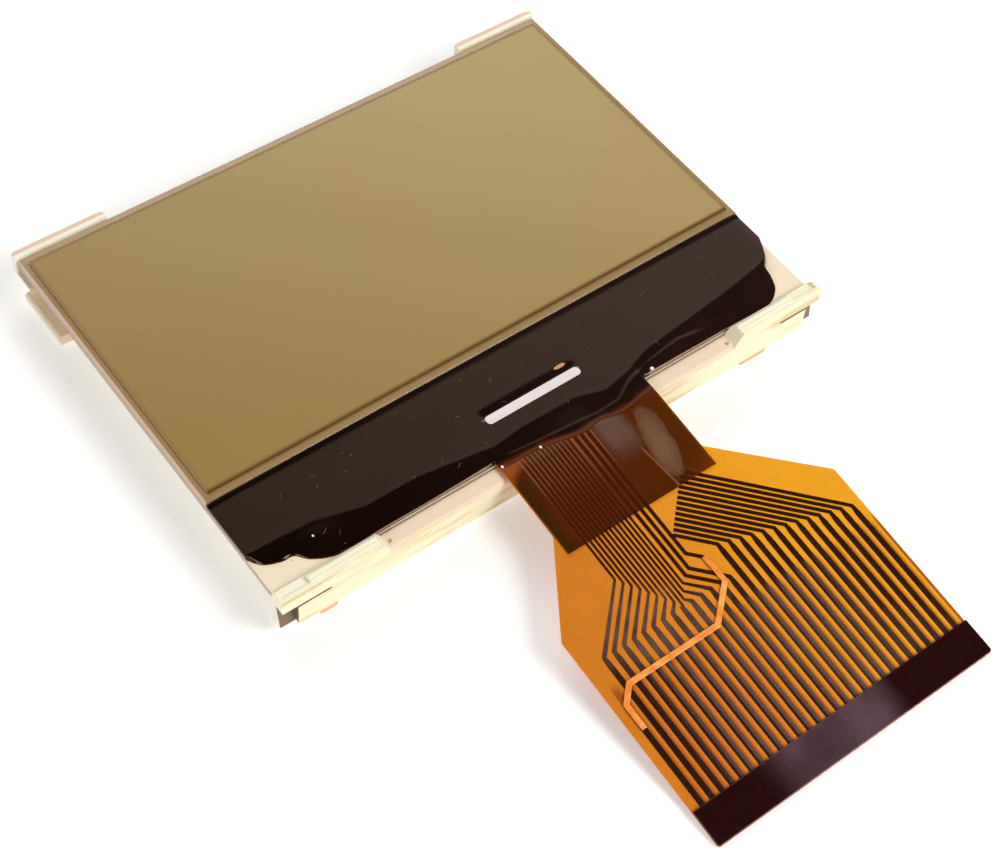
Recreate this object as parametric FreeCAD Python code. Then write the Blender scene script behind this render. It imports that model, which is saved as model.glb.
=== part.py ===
import FreeCAD, Part
import math
import os

# Graphic liquid crystal display module: a glass cell stuck on a moulded, edge-lit backlight
# frame, with its driver chip on the near glass ledge under black resin, and a two-sided flex
# tail that leaves over the front wall and fans out to a row of contacts.
# X runs along the long glass edge, +Y points away from the tail and +Z out of the viewing face.
# The origin lies under the middle of the whole part, on the surface it rests on. Millimetres.

# Glass cell
glass_width = 56.0
front_glass_depth = 30.5
rear_glass_depth = 40.15
front_glass_thickness = 0.7
rear_glass_thickness = 0.7
glass_edge_chamfer = 0.12
cell_gap = 0.03
seal_width = 1.0
seal_inset = 0.4
fill_port_length = 5.0
plug_overhang = 0.12
plug_margin = 0.4
polarizer_thickness = 0.2
front_polarizer_side_inset = 0.6
front_polarizer_far_inset = 0.85
front_polarizer_near_inset = 0.75
rear_polarizer_inset = 0.8

# Backlight stack, from the frame floor upwards
foot_height = 1.0
floor_thickness = 0.4
reflector_thickness = 0.1
guide_thickness = 1.6
guide_corner_chamfer = 0.6
diffuser_thickness = 0.2
tape_thickness = 0.1
tape_width = 1.6
sheet_clearance = 0.1
roof_thickness = 0.5

# Moulded frame
side_wall_setback = 1.1
side_wall_thickness = 1.3
far_wall_setback = 0.3
far_wall_thickness = 1.5
glass_clearance = 0.1
front_wall_thickness = 1.55
corner_overhang = 0.2
edge_break = 0.1
body_corner_radius = 0.4
wall_lap = 0.5
corner_block_depth = 1.7
left_rim_length = 9.4
right_rim_length = 9.1
rim_end_run = 0.8
rim_over_glass = 0.03
rim_chamfer = 0.45
rim_groove_width = 0.2
rim_groove_depth = 0.1
rim_groove_setback = 0.38
rim_groove_pitch = 0.42
low_wall_drop = 0.2
low_wall_slope = 0.25
rim_slit_height = 0.25
rim_slit_depth = 0.7
rim_slit_length = 3.1
rim_lip_height = 1.5
corner_recess_length = 1.45
corner_recess_depth = 0.95
scoop_length = 2.7
scoop_radius = 0.75
scoop_depth = 0.4
scoop_end_wall = 0.25
parting_groove_height = 0.35
parting_groove_depth = 0.08
gate_mark_radius = 0.22
gate_mark_depth = 0.3
gate_mark_setback = 0.35
tab_reach = 1.15
tab_length = 9.0
tab_strip_width = 0.35
tab_fall = 0.3
tab_end_radius = 0.45
tab_end_height = 2.3
side_tab_reach = 0.42
side_tab_length = 6.0
side_tab_start = 1.2
side_tab_height = 1.1
side_tab_bevel = 0.2
left_foot_length = 1.75
right_foot_length = 2.95
foot_width = 1.5
foot_taper = 0.12
foot_sink = 0.1
left_foot_offset = 23.74
right_foot_offset = 21.36
foot_edge_setback = 0.1
core_count = 5
core_depth = 1.5
core_rib = 1.0
core_corner_radius = 0.5

# Light sources under the ledge
led_count = 4
led_length = 3.0
led_depth = 1.0
led_height = 1.1
led_lens_depth = 0.2
led_lens_rim = 0.2
led_board_length = 44.0
led_board_width = 2.2
led_board_thickness = 0.3
led_chamber_depth = 3.4
led_margin = 1.0
lead_pad_length = 2.4
lead_pad_width = 1.2
lead_pad_spacing = 6.0

# Driver chip and ledge resin
chip_length = 10.4
chip_width = 1.4
chip_height = 0.5
chip_from_front_glass = 5.75
chip_offset = 0.1
bump_film_thickness = 0.03
bump_film_margin = 0.25
window_length = 9.5
window_width = 1.0
resin_at_glass = 0.68
resin_crown = 0.58
resin_over_chip = 0.56
resin_near_edge = 0.42
resin_dip = 0.03
resin_rise = 0.1
resin_shoulder_share = 0.7
resin_ridge_setback = 0.5
resin_flat_setback = 1.4
resin_slope_setback = 1.8
resin_edge_setback = 0.6
resin_edge_fall = 0.04
resin_end_height = 0.3
resin_shoulder = 1.6
resin_near_setback = 0.05
resin_lobe_inset = 0.1
resin_lobe_overhang = 0.3

# Flex tail: a base film with copper on both faces and a cover film over each
base_film_thickness = 0.05
copper_thickness = 0.04
cover_film_thickness = 0.05
jumper_thickness = 0.09
neck_tape_thickness = 0.06
stiffener_thickness = 0.2
bond_length = 1.4
bond_start_gap = 0.55
bend_radius = 4.0
bend_lead = 0.3
tail_length = 33.65
neck_width = 15.8
neck_length = 6.2
neck_offset = 1.45
shoulder_reach = 13.95
tail_width = 29.1
tail_offset = 3.08
tail_corner_radius = 0.25
shoulder_radius = 0.5
neck_corner_radius = 0.6
cover_edge_gap = 0.02
stiffener_length = 3.2
neck_tape_width = 15.64
neck_tape_start = -1.6
neck_tape_end = 8.2
neck_tape_offset = 1.45
neck_tape_corner_radius = 0.2

# Conductors
contact_count = 28
contact_pitch = 1.0
contact_width = 0.5
first_contact_x = -10.39
neck_count = 14
neck_first_x = -4.54
neck_pitch = 0.41
neck_track_width = 0.2
wide_neck_count = 3
wide_neck_pitch = 0.62
wide_neck_width = 0.32
fan_end = 16.8
fan_width = 0.36
first_contact_start = 22.7
widening = 0.8
jumper_start = (2.9, 14.3)
jumper_width = 0.5
jumper_lean = 0.1
jumper_drop = 2.6
jumper_corner_x = 0.0
jumper_cross = 19.6
jumper_left_x = -9.1
side_count = 13
side_bend_first = 14.0
side_bend_last = 17.4
side_via_line = 13.6
side_track_width = 0.32
rear_track_width = 0.18
via_radius = 0.15
via_sides = 8
via_setback = 0.7
via_lap = 0.12
contact_end_gap = 0.05
cover_glass_gap = 0.15

# Levels
frame_bottom = foot_height
floor_top = frame_bottom + floor_thickness
guide_bottom = floor_top + reflector_thickness
diffuser_bottom = guide_bottom + guide_thickness
shelf_top = diffuser_bottom + diffuser_thickness
cell_bottom = shelf_top + tape_thickness
rear_glass_bottom = cell_bottom + polarizer_thickness
ledge_top = rear_glass_bottom + rear_glass_thickness
front_glass_bottom = ledge_top + cell_gap
front_glass_top = front_glass_bottom + front_glass_thickness
cell_top = front_glass_top + polarizer_thickness
plateau_top = rear_glass_bottom - tape_thickness
rim_top = cell_top + rim_over_glass
base_film_bottom = ledge_top + bump_film_thickness + copper_thickness
low_wall_top = base_film_bottom - copper_thickness - cover_film_thickness - low_wall_drop


# Slope at which the tail comes down from its bend, so that the contacts' edge meets the surface
def landing_slope():
    drop = base_film_bottom - copper_thickness
    radius = bend_radius - copper_thickness
    angle = drop / tail_length
    for step in range(30):
        fall = drop - radius * (1.0 - math.cos(angle))
        run = tail_length * math.cos(angle) + bend_lead - radius * math.sin(angle)
        angle = math.atan(fall / run)
    return angle


tail_slope = landing_slope()

# Places along Y. The far edge of the glass is the reference for the body
front_wall_face = rear_glass_depth + glass_clearance + front_wall_thickness
tail_end_distance = front_wall_face + tail_length * math.cos(tail_slope)
glass_far = (tab_reach + tail_end_distance) / 2.0 - tab_reach
glass_near = glass_far - front_glass_depth
ledge_near = glass_far - rear_glass_depth
frame_far = glass_far - far_wall_setback
frame_near = glass_far - front_wall_face
wall_inner = frame_near + front_wall_thickness
bend_start = frame_near + bend_lead
tail_end = glass_far - tail_end_distance
chip_y = glass_near - chip_from_front_glass
resin_ridge_y = glass_near - resin_ridge_setback
resin_flat_y = glass_near - resin_flat_setback
resin_slope_y = chip_y - resin_slope_setback
resin_edge_y = ledge_near + resin_edge_setback
flex_start = chip_y - chip_width / 2.0 - bond_start_gap
glass_half = glass_width / 2.0
body_half = glass_half - side_wall_setback
corner_half = glass_half + corner_overhang
pocket_half = body_half - side_wall_thickness
pocket_far = frame_far - far_wall_thickness
pocket_near = glass_near
overreach = 1.0
above_all = rim_top + overreach
span = glass_width + 2.0 * overreach
edge_gap = 0.01
same_place = 1e-6


def vec(x, y, z):
    return FreeCAD.Vector(x, y, z)


def block(x0, x1, y0, y1, z0, z1):
    low = vec(min(x0, x1), min(y0, y1), min(z0, z1))
    return Part.makeBox(abs(x1 - x0), abs(y1 - y0), abs(z1 - z0), low)


# Position along Y of a point that lies a distance down the tail from the front wall
def tail_y(reach):
    return frame_near - reach * math.cos(tail_slope)


# Closed wire through plan points, with a tangent arc of the given radius at each corner
def rounded_wire(points, radii):
    count = len(points)
    edges = []
    ends = []
    for i in range(count):
        here = vec(points[i][0], points[i][1], 0)
        back = vec(points[i - 1][0], points[i - 1][1], 0) - here
        ahead = vec(points[(i + 1) % count][0], points[(i + 1) % count][1], 0) - here
        radius = radii[i]
        if radius <= 0:
            ends.append((here, here))
            continue
        back.normalize()
        ahead.normalize()
        half = back.getAngle(ahead) / 2.0
        reach = radius / math.tan(half)
        middle = back + ahead
        middle.normalize()
        start = here + back * reach
        stop = here + ahead * reach
        top = here + middle * (radius / math.sin(half) - radius)
        ends.append((start, stop))
        edges.append(Part.Arc(start, top, stop).toShape())
    for i in range(count):
        start = ends[i][1]
        stop = ends[(i + 1) % count][0]
        if start.distanceToPoint(stop) > same_place:
            edges.append(Part.LineSegment(start, stop).toShape())
    return Part.Wire(Part.__sortEdges__(edges))


# Upright solid over a plan wire
def upright(wire, z0, z1):
    face = Part.Face(wire)
    face.translate(vec(0, 0, z0))
    return face.extrude(vec(0, 0, z1 - z0))


def plate(x0, x1, y0, y1, z0, z1, radius):
    points = [(x0, y0), (x1, y0), (x1, y1), (x0, y1)]
    return upright(rounded_wire(points, [radius] * 4), z0, z1)


# Solid with a constant section in the YZ plane, from x0 to x1
def along_x(points, x0, x1):
    corners = [vec(x0, y, z) for y, z in points]
    face = Part.Face(Part.makePolygon(corners + corners[:1]))
    return face.extrude(vec(x1 - x0, 0, 0))


# Solid with a constant section in the XZ plane, from y0 to y1
def along_y(points, y0, y1):
    corners = [vec(x, y0, z) for x, z in points]
    face = Part.Face(Part.makePolygon(corners + corners[:1]))
    return face.extrude(vec(0, y1 - y0, 0))


def joined(shapes):
    return shapes[0].fuse(shapes[1:]).removeSplitter()


def mirrored(shape):
    return shape.mirror(vec(0, 0, 0), vec(1, 0, 0))


def bevelled_edges(shape, level, size):
    picked = []
    for edge in shape.Edges:
        box = edge.BoundBox
        if abs(box.ZMin - level) < same_place and abs(box.ZMax - level) < same_place:
            picked.append(edge)
    return shape.makeChamfer(size, picked)


# Glass panes, polarizers and what lies between the panes
def front_glass():
    pane = block(-glass_half, glass_half, glass_near, glass_far, front_glass_bottom, front_glass_top)
    return bevelled_edges(pane, front_glass_top, glass_edge_chamfer)


def rear_glass():
    pane = block(-glass_half, glass_half, ledge_near, glass_far, rear_glass_bottom, ledge_top)
    return bevelled_edges(pane, rear_glass_bottom, glass_edge_chamfer)


def front_polarizer():
    side = glass_half - front_polarizer_side_inset
    far = glass_far - front_polarizer_far_inset
    near = glass_near + front_polarizer_near_inset
    return block(-side, side, near, far, front_glass_top, cell_top)


def rear_polarizer():
    side = glass_half - rear_polarizer_inset
    far = glass_far - rear_polarizer_inset
    near = glass_near + rear_polarizer_inset
    return block(-side, side, near, far, cell_bottom, rear_glass_bottom)


def seal_box(inset):
    side = glass_half - seal_inset - inset
    far = glass_far - seal_inset - inset
    near = glass_near + seal_inset + inset
    return block(-side, side, near, far, ledge_top, front_glass_bottom)


def port_middle():
    return (glass_far + glass_near) / 2.0


def port_box(x0, x1):
    low = port_middle() - fill_port_length / 2.0
    return block(x0, x1, low, low + fill_port_length, ledge_top, front_glass_bottom)


def cell_seal():
    ring = seal_box(0.0).cut(seal_box(seal_width))
    return ring.cut(port_box(0.0, glass_half))


def liquid_crystal():
    return seal_box(seal_width)


# Bead that closes the filling port: it reaches in through the seal and stands on the glass edge
def port_plug():
    inner = glass_half - seal_inset - seal_width
    neck = port_box(inner, glass_half)
    half = fill_port_length / 2.0 + plug_margin
    middle = (ledge_top + front_glass_bottom) / 2.0
    start = vec(glass_half, port_middle() - half, middle)
    bead = Part.makeCylinder(plug_overhang, 2.0 * half, start, vec(0, 1, 0))
    outside = block(glass_half, glass_half + plug_overhang, port_middle() - half, port_middle() + half,
                    rear_glass_bottom, front_glass_top)
    return joined([neck, bead.common(outside)])


# Backlight frame: one moulding with walls, rims, tabs and feet
def frame_body():
    lower = plate(-body_half, body_half, frame_near, frame_far, frame_bottom, shelf_top, body_corner_radius)
    raised_far = pocket_near - sheet_clearance
    raised = block(-body_half, body_half, frame_near, raised_far, frame_bottom, plateau_top)
    return joined([lower, raised])


# Corners of a shallow groove in a level top, listed from the near side to the far side
def groove(middle, level):
    half = rim_groove_width / 2.0
    return [(middle - half, level), (middle, level - rim_groove_depth), (middle + half, level)]


# Section of a rim, seen along X: two grooves along its top and a chamfered inner edge
def rim_section():
    first = frame_near + rim_groove_setback
    second = first + rim_groove_pitch
    outer = [(frame_near, frame_bottom), (frame_near, rim_top - edge_break),
             (frame_near + edge_break, rim_top)]
    inner = [(wall_inner - rim_chamfer, rim_top), (wall_inner, rim_top - rim_chamfer),
             (wall_inner, frame_bottom)]
    return outer + groove(first, rim_top) + groove(second, rim_top) + inner


# Section of the low wall: a parting groove near its foot and a sloped outer top edge
def low_wall_section():
    parting = frame_bottom + parting_groove_height
    return [(frame_near, frame_bottom), (frame_near, parting - parting_groove_depth),
            (frame_near + parting_groove_depth, parting), (frame_near, parting + parting_groove_depth),
            (frame_near, low_wall_top - low_wall_slope), (frame_near + low_wall_slope, low_wall_top),
            (wall_inner, low_wall_top), (wall_inner, frame_bottom)]


# One rim, from the middle of the wall out to the corner on its right: it rises over a slope
def rim(length):
    start = corner_half - length
    side = [(start, rim_top), (start - rim_end_run, low_wall_top), (start - rim_end_run, frame_bottom),
            (corner_half, frame_bottom), (corner_half, rim_top)]
    bar = along_x(rim_section(), start - rim_end_run, corner_half)
    return bar.common(along_y(side, frame_near, wall_inner))


def front_wall():
    middle = along_x(low_wall_section(), -corner_half + left_rim_length, corner_half - right_rim_length)
    return joined([mirrored(rim(left_rim_length)), rim(right_rim_length), middle])


# Far corner block with its tab, which stands behind the glass: its top falls away outwards
def far_corner():
    inner = glass_far + glass_clearance
    outer = glass_far + tab_reach
    far_block = frame_far - corner_block_depth
    section = [(far_block, frame_bottom), (outer - edge_break, frame_bottom),
               (outer, frame_bottom + edge_break), (outer, rim_top - tab_fall),
               (inner + tab_strip_width, rim_top), (inner + edge_break, rim_top),
               (inner, rim_top - edge_break), (inner, shelf_top), (far_block, shelf_top)]
    tab = along_x(section, corner_half - tab_length, corner_half)
    upright_edges = []
    for edge in tab.Edges:
        box = edge.BoundBox
        if abs(box.YMin - outer) < same_place and box.ZLength > tab_reach and box.YLength < same_place:
            upright_edges.append(edge)
    tab = tab.makeFillet(tab_end_radius, upright_edges)
    keep = block(body_half - wall_lap, corner_half, far_block, outer, 0.0, above_all)
    beyond = block(0.0, corner_half, frame_far - wall_lap, outer, 0.0, above_all)
    undercut = block(body_half, corner_half, far_block, outer, 0.0, rim_top - tab_end_height)
    return tab.common(joined([keep, beyond])).cut(undercut)


def side_tab():
    far = glass_far - side_tab_start
    inner = body_half - wall_lap
    outer = glass_half + side_tab_reach
    top = frame_bottom + side_tab_height
    section = [(inner, frame_bottom), (outer - side_tab_bevel, frame_bottom),
               (outer, frame_bottom + side_tab_bevel), (outer, top - side_tab_bevel),
               (outer - side_tab_bevel, top), (inner, top)]
    return along_y(section, far - side_tab_length, far)


# Moulded foot: a short tapered peg under the frame, sunk a little into it
def foot(x, y, length):
    corners = [(-1, -1), (1, -1), (1, 1), (-1, 1)]
    half_x = length / 2.0
    half_y = foot_width / 2.0
    top = [vec(x + i * half_x, y + j * half_y, frame_bottom + foot_sink) for i, j in corners]
    low = [vec(x + i * (half_x - foot_taper), y + j * (half_y - foot_taper), 0) for i, j in corners]
    return Part.makeLoft([Part.makePolygon(low + low[:1]), Part.makePolygon(top + top[:1])], True, True)


def feet():
    near = frame_near + foot_edge_setback + foot_width / 2.0
    far = frame_far - foot_edge_setback - foot_width / 2.0
    made = []
    for y in (near, far):
        made.append(foot(-left_foot_offset, y, left_foot_length))
        made.append(foot(right_foot_offset, y, right_foot_length))
    return made


# Hollows in the frame: the pocket for the light guide, the light chamber under the ledge and
# the cores that keep the moulding at an even wall
def frame_pockets():
    pocket = block(-pocket_half, pocket_half, pocket_near, pocket_far, floor_top, above_all)
    chamber_half = led_board_length / 2.0 + sheet_clearance
    chamber_near = pocket_near - led_chamber_depth
    chamber_top = plateau_top - roof_thickness
    chamber = block(-chamber_half, chamber_half, chamber_near, pocket_near, floor_top, chamber_top)
    cuts = [pocket, chamber]
    core_far = chamber_near - core_rib
    core_near = wall_inner + core_rib
    core_top = frame_bottom + core_depth
    pitch = 2.0 * body_half / core_count
    for i in range(core_count):
        x0 = -body_half + i * pitch + core_rib / 2.0
        x1 = x0 + pitch - core_rib
        cuts.append(plate(x0, x1, core_near, core_far, frame_bottom, core_top, core_corner_radius))
    for side in (-1, 1):
        x = side * lead_pad_spacing / 2.0
        y = led_board_middle()
        cuts.append(block(x - lead_pad_length / 2.0, x + lead_pad_length / 2.0, y - lead_pad_width / 2.0,
                          y + lead_pad_width / 2.0, frame_bottom, floor_top))
    return cuts


# Slit under the rim lip and the recess at the corner, on one side of the front wall
def rim_slit():
    lip_bottom = rim_top - rim_lip_height
    end = corner_half - corner_recess_length
    slit = block(end - rim_slit_length, end, frame_near, frame_near + rim_slit_depth,
                 lip_bottom - rim_slit_height, lip_bottom)
    section = [(frame_near, frame_bottom), (frame_near, lip_bottom),
               (frame_near + corner_recess_depth, lip_bottom),
               (frame_near + corner_recess_depth / 2.0, frame_bottom)]
    return joined([slit, along_x(section, end, corner_half)])


# Shallow scoop along the inner half of a rim's top, closed by a thin wall at the corner
def rim_scoop():
    centre = rim_top + scoop_radius - scoop_depth
    end = corner_half - scoop_end_wall
    start = vec(end - scoop_length, wall_inner - rim_chamfer, centre)
    return Part.makeCylinder(scoop_radius, scoop_length, start, vec(1, 0, 0))


def gate_mark(x):
    y = (frame_near + wall_inner) / 2.0
    bottom = low_wall_top - gate_mark_depth
    return Part.makeCylinder(gate_mark_radius, gate_mark_depth, vec(x, y, bottom))


def backlight_frame():
    walls = [frame_body(), front_wall(), far_corner(), mirrored(far_corner())]
    solid = joined(walls + [side_tab(), mirrored(side_tab())] + feet())
    marks = [gate_mark(-corner_half + left_rim_length + rim_end_run + gate_mark_setback),
             gate_mark(corner_half - right_rim_length - rim_end_run - gate_mark_setback)]
    cuts = frame_pockets() + [rim_slit(), mirrored(rim_slit()), rim_scoop(), mirrored(rim_scoop())] + marks
    return solid.cut(cuts).removeSplitter()


# Sheets in the frame pocket
def pocket_sheet(z0, z1):
    side = pocket_half - sheet_clearance
    return block(-side, side, pocket_near + sheet_clearance, pocket_far - sheet_clearance, z0, z1)


def light_guide():
    guide = pocket_sheet(guide_bottom, diffuser_bottom)
    edges = [e for e in guide.Edges if e.BoundBox.ZLength > guide_thickness / 2.0]
    return guide.makeChamfer(guide_corner_chamfer, edges)


# Tape that holds the cell on the frame: a ring round the pocket and a strip under the ledge
def cell_tape():
    outer_side = body_half - sheet_clearance
    far = frame_far - sheet_clearance - rear_polarizer_inset
    near = pocket_near + rear_polarizer_inset + sheet_clearance
    ring = block(-outer_side, outer_side, near, far, shelf_top, cell_bottom)
    inner_side = outer_side - tape_width
    window = block(-inner_side, inner_side, near, far - tape_width, shelf_top, cell_bottom)
    strip_near = ledge_near + sheet_clearance
    strip_far = strip_near + tape_width
    strip = block(-outer_side, outer_side, strip_near, strip_far, plateau_top, rear_glass_bottom)
    return Part.Compound([ring.cut(window), strip])


# Light sources: a narrow board on the chamber floor with side-facing packages
def led_board_middle():
    return pocket_near - led_chamber_depth + led_board_width / 2.0 + sheet_clearance


def led_places():
    pitch = (led_board_length - led_length - 2.0 * led_margin) / (led_count - 1)
    first = -led_board_length / 2.0 + led_margin + led_length / 2.0
    return [first + i * pitch for i in range(led_count)]


def led_board():
    half = led_board_length / 2.0
    low = led_board_middle() - led_board_width / 2.0
    return block(-half, half, low, low + led_board_width, floor_top, floor_top + led_board_thickness)


def led_packages():
    bottom = floor_top + led_board_thickness
    far = led_board_middle() + led_board_width / 2.0 - led_lens_depth
    return Part.Compound([block(x - led_length / 2.0, x + led_length / 2.0, far - led_depth, far, bottom,
                                bottom + led_height) for x in led_places()])


def led_lenses():
    bottom = floor_top + led_board_thickness
    far = led_board_middle() + led_board_width / 2.0 - led_lens_depth
    half = led_length / 2.0 - led_lens_rim
    low = bottom + led_lens_rim
    high = bottom + led_height - led_lens_rim
    near_to_far = (far, far + led_lens_depth)
    return Part.Compound([block(x - half, x + half, *near_to_far, low, high) for x in led_places()])


# Two solder pads that reach the underside through the floor
def backlight_pads():
    pads = []
    for side in (-1, 1):
        x = side * lead_pad_spacing / 2.0
        y = led_board_middle()
        half_x = lead_pad_length / 2.0 - sheet_clearance
        half_y = lead_pad_width / 2.0 - sheet_clearance
        pads.append(block(x - half_x, x + half_x, y - half_y, y + half_y, frame_bottom, floor_top))
    return Part.Compound(pads)


# Driver chip on its bump film
def chip_film():
    half_x = chip_length / 2.0 + bump_film_margin
    half_y = chip_width / 2.0 + bump_film_margin
    return block(chip_offset - half_x, chip_offset + half_x, chip_y - half_y, chip_y + half_y, ledge_top,
                 ledge_top + bump_film_thickness)


def driver_chip():
    bottom = ledge_top + bump_film_thickness
    half_x = chip_length / 2.0
    half_y = chip_width / 2.0
    return block(chip_offset - half_x, chip_offset + half_x, chip_y - half_y, chip_y + half_y, bottom,
                 bottom + chip_height)


# Upper or lower face of a tail layer, at a height over the underside of the base film
def layer_line(height, start):
    radius = bend_radius + height
    level = base_film_bottom + height
    centre = base_film_bottom - bend_radius
    first = vec(0, start, level)
    second = vec(0, bend_start, level)
    half_slope = tail_slope / 2.0
    middle = vec(0, bend_start - radius * math.sin(half_slope), centre + radius * math.cos(half_slope))
    third = vec(0, bend_start - radius * math.sin(tail_slope), centre + radius * math.cos(tail_slope))
    run = tail_length / math.cos(tail_slope) + overreach
    last = third + vec(0, -run * math.cos(tail_slope), -run * math.sin(tail_slope))
    return first, second, middle, third, last


# Bent sheet across the whole width, between two heights
def sheet(low, high):
    start = flex_start + overreach
    a = layer_line(low, start)
    b = layer_line(high, start)
    edges = [Part.LineSegment(a[0], a[1]).toShape(), Part.Arc(a[1], a[2], a[3]).toShape(),
             Part.LineSegment(a[3], a[4]).toShape(), Part.LineSegment(a[4], b[4]).toShape(),
             Part.LineSegment(b[4], b[3]).toShape(), Part.Arc(b[3], b[2], b[1]).toShape(),
             Part.LineSegment(b[1], b[0]).toShape(), Part.LineSegment(b[0], a[0]).toShape()]
    face = Part.Face(Part.Wire(Part.__sortEdges__(edges)))
    face.translate(vec(-span / 2.0, 0, 0))
    return face.extrude(vec(span, 0, 0))


# What is left of a tail layer inside the given plan wires
def layer(low, high, wires):
    cutters = [upright(wire, -overreach, above_all) for wire in wires]
    bent = sheet(low, high)
    pieces = []
    for cutter in cutters:
        pieces.extend(bent.common(cutter).Solids)
    if len(pieces) == 1:
        return pieces[0]
    return Part.Compound(pieces)


# Outline of the tail: a neck that widens through two shoulders
def tail_outline(inset, start, end):
    neck_left = neck_offset - neck_width / 2.0 + inset
    neck_right = neck_offset + neck_width / 2.0 - inset
    left = tail_offset - tail_width / 2.0 + inset
    right = tail_offset + tail_width / 2.0 - inset
    neck_end = tail_y(neck_length)
    wide_start = tail_y(shoulder_reach)
    points = [(neck_left, start), (neck_left, neck_end), (left, wide_start), (left, end), (right, end),
              (right, wide_start), (neck_right, neck_end), (neck_right, start)]
    radii = [0, neck_corner_radius, shoulder_radius, tail_corner_radius, tail_corner_radius, shoulder_radius,
             neck_corner_radius, 0]
    return rounded_wire(points, radii)


# Plan wire of a conductor that follows plan points, with its own width at each of them
def stroke(points, widths):
    left = []
    right = []
    count = len(points)
    for i in range(count):
        here = vec(points[i][0], points[i][1], 0)
        before = here - vec(points[i - 1][0], points[i - 1][1], 0) if i > 0 else None
        after = vec(points[i + 1][0], points[i + 1][1], 0) - here if i < count - 1 else None
        one = before if before is not None else after
        two = after if after is not None else before
        one = vec(one.x, one.y, 0).normalize()
        two = vec(two.x, two.y, 0).normalize()
        normal = vec(-one.y - two.y, one.x + two.x, 0).normalize()
        mitre = widths[i] / 2.0 / normal.dot(vec(-one.y, one.x, 0))
        left.append(here + normal * mitre)
        right.append(here - normal * mitre)
    corners = left + right[::-1]
    return Part.makePolygon(corners + corners[:1])


def contact_x(index):
    return first_contact_x + index * contact_pitch


def neck_x(index):
    plain = neck_count + 1 - wide_neck_count
    if index < plain:
        return neck_first_x + index * neck_pitch
    return neck_first_x + (plain - 1) * neck_pitch + (index - plain + 1) * wide_neck_pitch


def neck_width_at(index):
    return neck_track_width if index < neck_count + 1 - wide_neck_count else wide_neck_width


track_start = flex_start - cover_edge_gap
track_end = tail_end + via_setback
finger_start = tail_y(tail_length - stiffener_length)


# Conductors that run straight down the neck, fan out and end over the contacts
def fan_track(index):
    x0 = neck_x(index)
    x1 = contact_x(index + 1)
    narrow = neck_width_at(index)
    turn = fan_end - abs(x1 - x0)
    points = [(x0, track_start), (x0, tail_y(turn)), (x1, tail_y(fan_end)), (x1, tail_y(fan_end + widening)),
              (x1, track_end)]
    return stroke(points, [narrow, narrow, fan_width, contact_width, contact_width])


# Last conductor of the neck: it turns aside to the landing of the jumper
def landing_track():
    x0 = neck_x(neck_count)
    turn = jumper_start[1] - abs(jumper_start[0] - x0)
    points = [(x0, track_start), (x0, tail_y(turn)), (jumper_start[0], tail_y(jumper_start[1])),
              (jumper_start[0], tail_y(jumper_start[1] + jumper_width))]
    return stroke(points, [wide_neck_width] * 4)


def first_track():
    x = contact_x(0)
    return stroke([(x, tail_y(first_contact_start)), (x, track_end)], [contact_width] * 2)


# Where a conductor of the side group turns from its diagonal to its contact: x, reach
def side_bend(index):
    share = index / (side_count - 1.0)
    reach = side_bend_first + (side_bend_last - side_bend_first) * share
    return contact_x(contact_count - side_count + index), reach


# Where its diagonal ends, on the slanted row of vias: x, reach
def side_via(index):
    x, reach = side_bend(index)
    shift = (x + reach - side_via_line) / 2.0
    return x - shift, reach - shift


def side_track(index):
    x, reach = side_bend(index)
    via_x, via_reach = side_via(index)
    points = [(via_x - via_lap, tail_y(via_reach - via_lap)), (x, tail_y(reach)),
              (x, tail_y(reach + widening)), (x, track_end)]
    return stroke(points, [side_track_width, side_track_width, contact_width, contact_width])


def front_tracks():
    wires = [fan_track(i) for i in range(neck_count)] + [landing_track(), first_track()]
    wires += [side_track(i) for i in range(side_count)]
    return layer(base_film_thickness, base_film_thickness + copper_thickness, wires)


# Copper on the underside: short runs from the slanted vias to the glass, and pads for the others
def rear_tracks():
    wires = []
    for i in range(side_count):
        x, reach = side_via(i)
        wires.append(stroke([(x, track_start), (x, tail_y(reach + via_lap))], [rear_track_width] * 2))
    for i in range(neck_count + 1):
        x = neck_x(i)
        wires.append(stroke([(x, track_start), (x, flex_start - bond_length)], [neck_width_at(i)] * 2))
    return layer(-copper_thickness, 0.0, wires)


def contact_fingers():
    wires = []
    for i in range(contact_count):
        x = contact_x(i)
        wires.append(stroke([(x, finger_start), (x, tail_end + contact_end_gap)], [contact_width] * 2))
    return layer(-copper_thickness, 0.0, wires)


# A via is small enough for a plain many-sided hole
def via_wire(x, y):
    corners = []
    for i in range(via_sides):
        angle = 2.0 * math.pi * (i + 0.5) / via_sides
        corners.append(vec(x + via_radius * math.cos(angle), y + via_radius * math.sin(angle), 0))
    return Part.makePolygon(corners + corners[:1])


# Plated holes that join the two copper faces
def through_vias():
    places = [(neck_x(i), flex_start - via_setback) for i in range(neck_count + 1)]
    places += [(side_via(i)[0], tail_y(side_via(i)[1])) for i in range(side_count)]
    places += [(contact_x(i), finger_start - via_setback) for i in range(contact_count)]
    return layer(0.0, base_film_thickness, [via_wire(x, y) for x, y in places])


def flex_base_film():
    whole = layer(0.0, base_film_thickness, [tail_outline(0.0, flex_start, tail_end)])
    return whole.cut(through_vias())


def front_cover_film():
    low = base_film_thickness + copper_thickness
    outline = tail_outline(cover_edge_gap, flex_start - bond_length, tail_end)
    return layer(low, low + cover_film_thickness, [outline])


def rear_cover_film():
    start = ledge_near - cover_glass_gap
    return layer(-copper_thickness - cover_film_thickness, -copper_thickness,
                 [tail_outline(cover_edge_gap, start, finger_start + via_setback)])


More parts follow.
